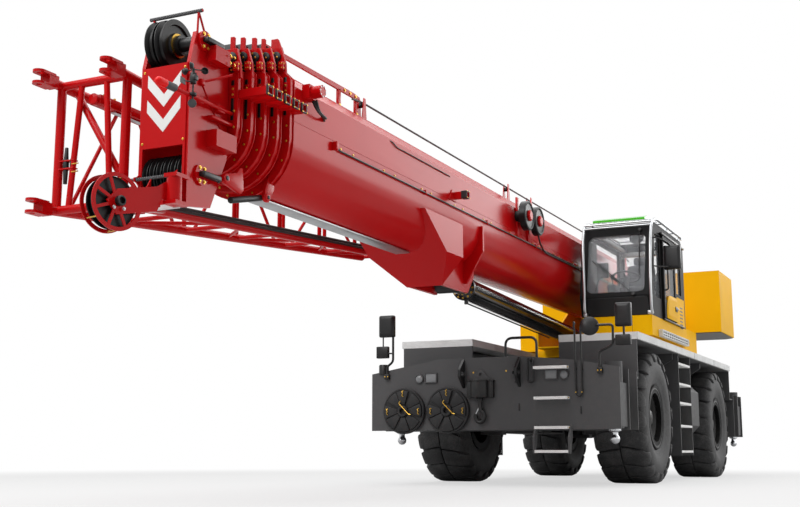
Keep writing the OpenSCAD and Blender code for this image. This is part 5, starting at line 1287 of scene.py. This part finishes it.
def operator_seat():
    """Seat with sewn cushions, headrest, arm consoles, levers and piping."""
    seat = cushion(here(0.690, 0.905, 2.925), here(1.215, 1.355, 3.030), (0.012, 0.008, 0.020))
    back = cushion(here(0.575, 0.915, 3.045), here(0.680, 1.345, 3.44), (0.020, 0.006, 0.010))
    head = cushion(here(0.580, 1.02, 3.455), here(0.665, 1.24, 3.575), (0.014, 0.008, 0.008))
    for name, piece in (("seat_cushion", seat), ("seat_backrest", back), ("seat_headrest", head)):
        fitted(piece, name, cloth, "upper", 60, ["cab_interior"] if name == "seat_cushion" else ())
    pedestal = slab(here(0.78, 0.97, 2.50), here(1.13, 1.29, 2.915), 0.03, 3)
    pan = slab(here(0.70, 0.90, 2.895), here(1.21, 1.36, 2.925), 0.012)
    shell = slab(here(0.545, 0.93, 3.06), here(0.573, 1.33, 3.43), 0.012)
    stalks = [rod(here(0.62, y, 3.42), here(0.62, y, 3.47), 0.008, 10) for y in (1.07, 1.19)]
    consoles, knobs = [], []
    for y in (0.80, 1.46):
        body = slab(here(0.72, y - 0.075, 2.50), here(1.30, y + 0.075, 3.07), 0.0)
        pick(body, "VERT", lambda v: v.co.z < 2.8 and v.co.x > here(1.0, 0, 0).x)
        bpy.ops.transform.translate(value=(-0.2, 0, 0))
        alone(body)
        consoles.append(eased(body, 0.025, 3))
        knobs.append(rod(here(1.19, y, 3.05), here(1.20, y, 3.17), 0.012, 12))
        knobs.append(turned([(0.0001, 0.0), (0.022, 0.01), (0.027, 0.045), (0.02, 0.085), (0.0001, 0.10)],
                            here(1.20, y, 3.15), Z, 18))
    column = rod(here(1.78, 1.13, 2.50), here(1.60, 1.13, 3.10), 0.055, 20, 0.01, 0.04)
    dash = slab(here(1.70, 0.98, 2.50), here(1.95, 1.28, 2.72), 0.05, 3)
    screen = slab(here(1.76, 0.72, 3.10), here(1.80, 0.90, 3.34), 0.012)
    arm = pipe([here(1.80, 0.69, 2.90), here(1.80, 0.75, 3.10), here(1.79, 0.80, 3.16)], 0.014, 0.05)
    fitted([pedestal, pan, shell, column, dash, screen, arm] + stalks + consoles + knobs, "cab_consoles", trim,
           "upper", 40)
    tilt = Vector((-0.29, 0, 0.957))
    hub = here(1.585, 1.13, 3.13)
    across = tilt.cross(Y).normalized()
    ring = pipe([hub + Y * 0.20 * math.cos(a) + across * 0.20 * math.sin(a)
                 for a in angles(40) + [2 * math.pi]], 0.017, 0.02, 3)
    spokes = [rod(hub - tilt * 0.02, hub + (Y * math.cos(a) + across * math.sin(a)) * 0.195, 0.011, 10)
              for a in (0.3, math.pi - 0.3, -math.pi / 2)]
    boss = turned([(0.0001, -0.05), (0.045, -0.05), (0.05, -0.01), (0.035, 0.012), (0.0001, 0.014)], hub, tilt,
                  24)
    fitted([ring, boss] + spokes, "steering_wheel", hose, "upper", 50)
    lining = [slab(here(0.0, 0.66, 3.775), here(1.86, 0.74, 3.838), 0.02, 3),
              slab(here(0.0, 1.52, 3.775), here(1.86, 1.60, 3.838), 0.02, 3),
              slab(here(-0.04, 0.66, 3.70), here(0.10, 1.60, 3.775), 0.02, 3),
              slab(here(1.74, 0.66, 3.72), here(1.88, 1.60, 3.80), 0.02, 3)]
    fitted(lining, "cab_headliner", liner, "upper")
    visor = turned([(0.0001, -0.01), (0.09, -0.008), (0.11, 0.0), (0.09, 0.008), (0.0001, 0.01)],
                   here(1.96, 1.40, 3.66), Vector((0.9, 0, 0.43)), 30)
    mat = slab(here(0.0, 0.66, 2.494), here(2.15, 1.60, 2.504), 0.003)
    wall = slab(here(-0.045, 0.66, 2.50), here(-0.015, 1.60, 2.745), 0.01)
    fitted([visor, mat, wall], "cab_floor_trim", trim, "upper")


def screen_at(z):
    """The windscreen's outer face: how far forward it is at a height."""
    return 2.352 - (z - 2.7225) * 0.245 / 1.085


def cab_front():
    """Windscreen surround, lower screen, wipers, guard tubes with their grille, roof strip and cab mirror."""
    lean = Vector((1.085, 0, 0.245)).normalized()

    def on_screen(y, z, out):
        return here(screen_at(z), y, z) + lean * out

    def soft_frame(y0, y1, z0, z1, r):
        turns = [(y1 - r, z1 - r, 0), (y0 + r, z1 - r, 90), (y0 + r, z0 + r, 180), (y1 - r, z0 + r, 270)]
        return [(y + r * math.cos(math.radians(a + 15 * i)), z + r * math.sin(math.radians(a + 15 * i)))
                for y, z, a in turns for i in range(7)]

    outer, inner = soft_frame(0.612, 1.648, 2.735, 3.80, 0.02), soft_frame(0.705, 1.585, 2.79, 3.685, 0.09)
    band = holed([on_screen(y, z, 0.0) for y, z in outer], [on_screen(y, z, 0.0) for y, z in inner],
                 lean * 0.008)
    fitted(band, "windscreen_surround", cab_black, "upper", 30)
    slope = Vector((0.28, 0, -0.098)).normalized()
    low = [here(2.254 + (z - 2.4425) * 0.35, y, z) for y, z in soft_frame(0.63, 1.63, 2.455, 2.715, 0.05)]
    fitted(plate([p + slope * 0.001 for p in low], slope * 0.008, 0.003), "lower_screen", satin, "upper")

    tubes = []
    for y, foot in ((1.69, 1.69), (0.66, 0.69)):
        tubes.append(pipe([here(0.15, y, 3.905), here(0.15, y, 3.945), here(1.92, y, 3.945),
                           here(2.22, y, 3.86), here(2.33, y, 3.55), here(2.42, foot, 2.90),
                           here(2.41, foot, 2.52), here(2.345, foot, 2.45)], 0.021, 0.14, 3))
    guard = tubes + [pipe([here(x, 0.66, 3.945), here(x, 1.69, 3.945)], r, 0.02)
                     for x, r in ((0.17, 0.016), (0.60, 0.014), (1.03, 0.014), (1.46, 0.014), (1.90, 0.016))]
    guard += [rod(here(2.20, 0.66, 3.862), here(2.20, 1.69, 3.862), 0.016, 16),
              rod(here(2.245, 0.66, 3.800), here(2.245, 1.69, 3.800), 0.013, 12)]
    guard += [rod(here(1.90, 0.76 + 0.092 * i, 3.94), here(2.20, 0.76 + 0.092 * i, 3.862), 0.0085, 10)
              for i in range(10)]
    feet = [slab(here(x - 0.03, y - 0.03, 3.885), here(x + 0.03, y + 0.03, 3.935), 0.006)
            for x in (0.17, 1.03, 1.75) for y in (0.66, 1.63)]
    feet += [slab(here(2.30, y - 0.025, 2.44), here(2.40, y + 0.025, 2.49), 0.006) for y in (0.69, 1.655)]
    fitted(guard + feet, "cab_guard_tubes", zinc, "upper", 40, ["cab_guard"])
    strip = plate([here(x, 0.78, z) for x, z in ((1.99, 3.945), (2.00, 3.985), (2.17, 3.935), (2.165, 3.898))],
                  Y * 0.80, 0.004)
    fitted(strip, "roof_strip", green, "upper")

    wipers = [pipe([on_screen(y, z, o) for y, z, o in ((1.42, 2.76, 0.02), (1.36, 2.80, 0.05),
                                                       (0.86, 3.26, 0.03))], 0.0065, 0.04),
              pipe([on_screen(y, z, o) for y, z, o in ((1.50, 3.74, 0.02), (1.50, 3.70, 0.05),
                                                       (1.50, 3.08, 0.03))], 0.0065, 0.04)]
    fitted(wipers, "wiper_arms", satin, "upper", 40)
    blades = [rod(on_screen(0.78, 3.30, 0.018), on_screen(1.17, 2.945, 0.018), 0.007, 8),
              rod(on_screen(1.50, 3.02, 0.018), on_screen(1.50, 3.60, 0.018), 0.007, 8)]
    hubs = [rod(on_screen(1.42, 2.745, 0.0), on_screen(1.42, 2.745, 0.045), 0.028, 18, 0.006),
            rod(on_screen(1.50, 3.745, 0.0), on_screen(1.50, 3.745, 0.045), 0.028, 18, 0.006)]
    fitted(blades + hubs, "wiper_blades", hose, "upper")

    shell, glass = mirror_shell(1.885, 3.17, 3.54, 1.76, 0.130)
    stem = pipe([here(2.14, 1.655, 3.62), here(2.02, 1.75, 3.62), here(1.80, 1.86, 3.56),
                 here(1.79, 1.86, 3.36)], 0.013, 0.05)
    stem2 = pipe([here(2.24, 1.655, 3.18), here(2.06, 1.75, 3.18), here(1.80, 1.86, 3.22),
                  here(1.79, 1.86, 3.36)], 0.011, 0.05)
    fitted([shell, stem, stem2], "cab_mirror", satin, "upper")
    fitted(glass, "cab_mirror_glass", mirror, "upper")


def cab_side():
    """Left side: door skin, handle, grip and rails, vent slots and running board slots painted as black shade,
    running board, tub seams and seals.
    """
    skin_line = [(0.712, 2.475), (1.44, 2.475), (1.45, 2.56), (1.42, 2.70), (1.36, 2.79), (1.27, 2.838),
                 (1.15, 2.85), (0.712, 2.85)]
    skin = plate([here(x, 1.7004, z) for x, z in skin_line], Y * 0.012, 0.004, 2)
    fitted(skin, "door_skin", yellow, "cab_door", 30)
    lap = [(0.752, 2.53), (1.36, 2.53), (1.372, 2.60), (1.34, 2.70), (1.28, 2.77), (1.16, 2.80), (0.752, 2.80)]
    fitted(plate([here(x, 1.712, z) for x, z in lap], Y * 0.004, 0.002), "door_skin_press", yellow, "cab_door",
           30)
    fitted(slab(here(0.76, 1.7165, 2.63), here(0.90, 1.728, 2.71), 0.005), "door_handle_cup", satin, "cab_door")
    fitted(pipe([here(0.775, 1.722, 2.67), here(0.79, 1.75, 2.67), here(0.87, 1.75, 2.67),
                 here(0.885, 1.722, 2.67)], 0.010, 0.02), "door_handle", zinc, "cab_door")
    grip = pipe([here(1.47, 1.70, 2.90), here(1.47, 1.745, 2.92), here(1.47, 1.745, 3.45),
                 here(1.47, 1.70, 3.47)], 0.013, 0.04)
    fitted(grip, "door_grip", satin, "cab_door")
    rails = [slab(here(0.02, 1.661, 3.752), here(1.62, 1.712, 3.785), 0.005),
             slab(here(0.10, 1.661, 2.437), here(1.56, 1.698, 2.458), 0.004)]
    fitted(rails, "door_rails", satin, "upper")

    # Black strips stand for the vent slots: painted shade in place of the openings
    slot_shades = [slab(here(0.10, 1.652, z), here(0.30, 1.6604, z + 0.022), 0.0002, 1)
             for z in (2.42, 2.475, 2.53, 2.585, 2.64, 2.695, 2.75)]
    fitted(slot_shades, "panel_vent_shade", satin, "upper")
    fitted(plate([here(x, 1.6584, z) for x, z in ((0.35, 2.47), (0.62, 2.47), (0.64, 2.80), (0.58, 2.87),
                                                  (0.35, 2.87))], Y * 0.002, 0.0008), "panel_press", yellow,
           "upper", 30)
    board = slab(here(-0.02, 1.615, 2.155), here(1.86, 1.725, 2.262), 0.008)
    fitted(hollowed(board, 0.014, 0.012), "cab_running_board", pale, "upper", 25)
    # Black strips stand for the board's slots: painted shade in place of the openings
    board_slot_shades = [slab(here(0.06 + 0.15 * i, 1.708, z), here(0.16 + 0.15 * i, 1.717, z + 0.022), 0.006)
             for i in range(12) for z in (2.178, 2.216)]
    fitted(board_slot_shades, "running_board_slot_shade", satin, "upper")

    # Seams on the front of the yellow tub, and seals over and under the doorway
    seams = [slab(here(2.2535, 1.36, 2.16), here(2.2565, 1.364, 2.43), 0.0012, 1),
             slab(here(2.2535, 0.70, 2.16), here(2.2565, 0.704, 2.43), 0.0012, 1)]
    fitted(seams, "tub_seams", satin, "upper")
    pads = [slab(here(0.741, 1.640, z), here(1.512, 1.658, z + 0.018), 0.004) for z in (2.496, 3.70)]
    fitted(pads, "doorway_seals", hose, "upper")


operator_seat()
cab_front()
cab_side()


def wound_rope(x, z, half, r):
    """Rope lying on a winch drum, turn beside turn."""
    turns = 30
    line = [(r - 0.02, -half)]
    for i in range(turns):
        h0, wide = -half + 2 * half * i / turns, 2 * half / turns
        line += [(r + 0.004, h0 + 0.08 * wide), (r + 0.016, h0 + 0.3 * wide), (r + 0.016, h0 + 0.7 * wide),
                 (r + 0.004, h0 + 0.92 * wide)]
    line += [(r - 0.02, half)]
    return turned(line, here(x, 0, z), Y, 44)


def upper_works():
    """Winch ropes, bolts and motors, the counterweight's lamps and a grey sheet of painted shade under it, and
    the cabinet doors.
    """
    bed_z, drum_r = 2.67 + 0.14 * 1.16, 0.17 * 1.5
    flange_r = 1.28 * drum_r
    x1, z1 = -2.9 - 1.2 * flange_r, bed_z + 1.15 * flange_r
    drums = ((x1, z1), (x1 - 1.55 * flange_r, z1 + 1.5 * flange_r))
    fitted([wound_rope(x, z, 0.42, drum_r) for x, z in drums], "winch_ropes", rope, "upper", 50)
    heads = [(here(x + 0.11 * math.cos(a), side * 0.581, z + 0.11 * math.sin(a)), Y * side)
             for x, z in drums for side in (1, -1) for a in angles(10)]
    fitted(bolt_heads(heads, 0.013), "winch_bolts", zinc, "upper")
    motors = [turned([(0.0001, 0.0), (0.13, 0.0), (0.13, 0.02), (0.10, 0.03), (0.09, 0.09), (0.06, 0.10),
                      (0.0001, 0.10)], here(x, 0.578, z), Y, 32) for x, z in drums]
    fitted(both_sides(joined(motors)), "winch_motors", satin, "upper")

    low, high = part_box("counterweight")
    back, front, half = low[0], high[0], high[1]
    cut = 0.15
    plan = [(front, -half), (front, half), (back + cut, half), (back, half - cut), (back, cut - half),
            (back + cut, -half)]
    shrink = 0.02
    under = [Vector((x + (shrink if x < 0.5 * (back + front) else -shrink), y - math.copysign(shrink, y),
                     low[2] - 0.012)) for x, y in plan]
    # A grey sheet just under the counterweight, painted shade for its underside
    fitted(plate(under, Z * 0.0125, 0.004), "weight_underside_shade", underside_shade, "upper")
    lamps = [slab((back - 0.012, half - 0.45, low[2] + 0.20), (back + 0.004, half - 0.25, low[2] + 0.30),
                  0.005)]
    fitted(both_sides(joined(lamps)), "weight_lamps", signal, "upper")

    # Doors on the cabinets beside the boom foot: raised panels and their hinges
    floor, right, left = 2.13, -1.016, 1.351
    doors = [slab(here(-0.75, right - 0.008, floor + 0.06), here(0.05, right + 0.002, floor + 0.46), 0.004),
             slab(here(-1.62, left - 0.002, floor + 0.05), here(-1.00, left + 0.008, floor + 0.44), 0.004)]
    hinges = [slab(here(x - 0.02, right - 0.02, floor + 0.43), here(x + 0.02, right - 0.004, floor + 0.475),
                   0.004)
              for x in (-0.66, -0.05)]
    hinges += [slab(here(x - 0.02, left + 0.004, floor + 0.41), here(x + 0.02, left + 0.02, floor + 0.45),
                    0.004) for x in (-1.5, -1.12)]
    fitted(doors, "cabinet_doors", yellow, "upper")
    fitted(hinges, "cabinet_hinges", zinc, "upper")


upper_works()


def studio():
    """A pale floor, a big overhead light, side fills and a white surround."""
    alone()
    bpy.ops.mesh.primitive_plane_add(size=600.0)
    floor = bpy.context.object
    floor.name = "studio_floor"
    c = Coat("studio_floor")
    seen = c.node("ShaderNodeLightPath", out="Is Camera Ray")
    gloss = c.node("ShaderNodeLightPath", out="Is Glossy Ray")
    through = c.node("ShaderNodeLightPath", out="Is Transmission Ray")
    reach = c.node("ShaderNodeVectorMath", {"operation": "LENGTH"}, {0: c.place}, out="Value")
    c.set("Base Color", shade(208, 208, 208))
    c.set("Roughness", 0.9)
    c.set("Specular IOR Level", 0.1)
    white_out = c.node("ShaderNodeEmission", None, {"Color": (1, 1, 1, 1), "Strength": 1.0})
    part = c.sum("MINIMUM", (seen + through) * (0.62 + c.span(reach, 9.0, 17.0) * 0.38) +
                 gloss * c.span(reach, 14.0, 60.0), 1.0)
    both = c.node("ShaderNodeMixShader", None, {0: part, 1: Tone(c, c.shader.outputs[0]), 2: white_out})
    c.feed(c.tree.nodes["Material Output"].inputs["Surface"], both)
    floor.data.materials.append(c.material)

    for name, place, aim, size, watts in (
            ("overhead", (0, 0, 15), (0, 0, 0), (26, 16), 2100),
            ("front_fill", (16, -4, 13), (2, 0, 1.5), (12, 9), 1700),
            ("left_wall", (-6, 17, 6), (-2, 0, 2.5), (22, 9), 430),
            ("boom_card", (-28, 17, 13), (6, 0, 3), (34, 10), 3200)):
        bpy.ops.object.light_add(type="AREA", location=place)
        lamp = bpy.context.object
        lamp.name = name
        lamp.rotation_euler = (Vector(aim) - Vector(place)).to_track_quat("-Z", "Y").to_euler()
        lamp.data.shape = "RECTANGLE"
        lamp.data.size, lamp.data.size_y = size
        lamp.data.energy = watts

    world = bpy.data.worlds.new("studio_surround")
    bpy.context.scene.world = world
    world.use_nodes = True
    tree = world.node_tree
    path = tree.nodes.new("ShaderNodeLightPath")
    lit = tree.nodes["Background"]
    lit.inputs["Color"].default_value = (1, 1, 1, 1)
    lit.inputs["Strength"].default_value = 0.28
    shown = tree.nodes.new("ShaderNodeBackground")
    shown.inputs["Color"].default_value = (1, 1, 1, 1)
    seen_or_gloss = tree.nodes.new("ShaderNodeMath")
    shown_part = tree.nodes.new("ShaderNodeMath")
    shown_part.use_clamp = True
    tree.links.new(path.outputs["Is Camera Ray"], seen_or_gloss.inputs[0])
    tree.links.new(path.outputs["Is Glossy Ray"], seen_or_gloss.inputs[1])
    tree.links.new(seen_or_gloss.outputs[0], shown_part.inputs[0])
    tree.links.new(path.outputs["Is Transmission Ray"], shown_part.inputs[1])
    mixed = tree.nodes.new("ShaderNodeMixShader")
    tree.links.new(shown_part.outputs[0], mixed.inputs[0])
    tree.links.new(lit.outputs[0], mixed.inputs[1])
    tree.links.new(shown.outputs[0], mixed.inputs[2])
    tree.links.new(mixed.outputs[0], tree.nodes["World Output"].inputs["Surface"])


def photographer():
    """The camera stands low, ahead and to the left of the crane."""
    bpy.ops.object.camera_add(location=here(18.938, 5.558, 0.450))
    camera = bpy.context.object
    turn, rise = math.radians(25.667), math.radians(9.850)
    ahead = Vector((-math.cos(turn) * math.cos(rise), -math.sin(turn) * math.cos(rise), math.sin(rise)))
    camera.rotation_euler = ahead.to_track_quat("-Z", "Y").to_euler()
    camera.data.sensor_width = 36.0
    camera.data.lens = 51.38
    camera.data.clip_end = 2000.0
    bpy.context.scene.camera = camera


photographer()
studio()
bpy.context.scene.view_settings.view_transform = "Standard"
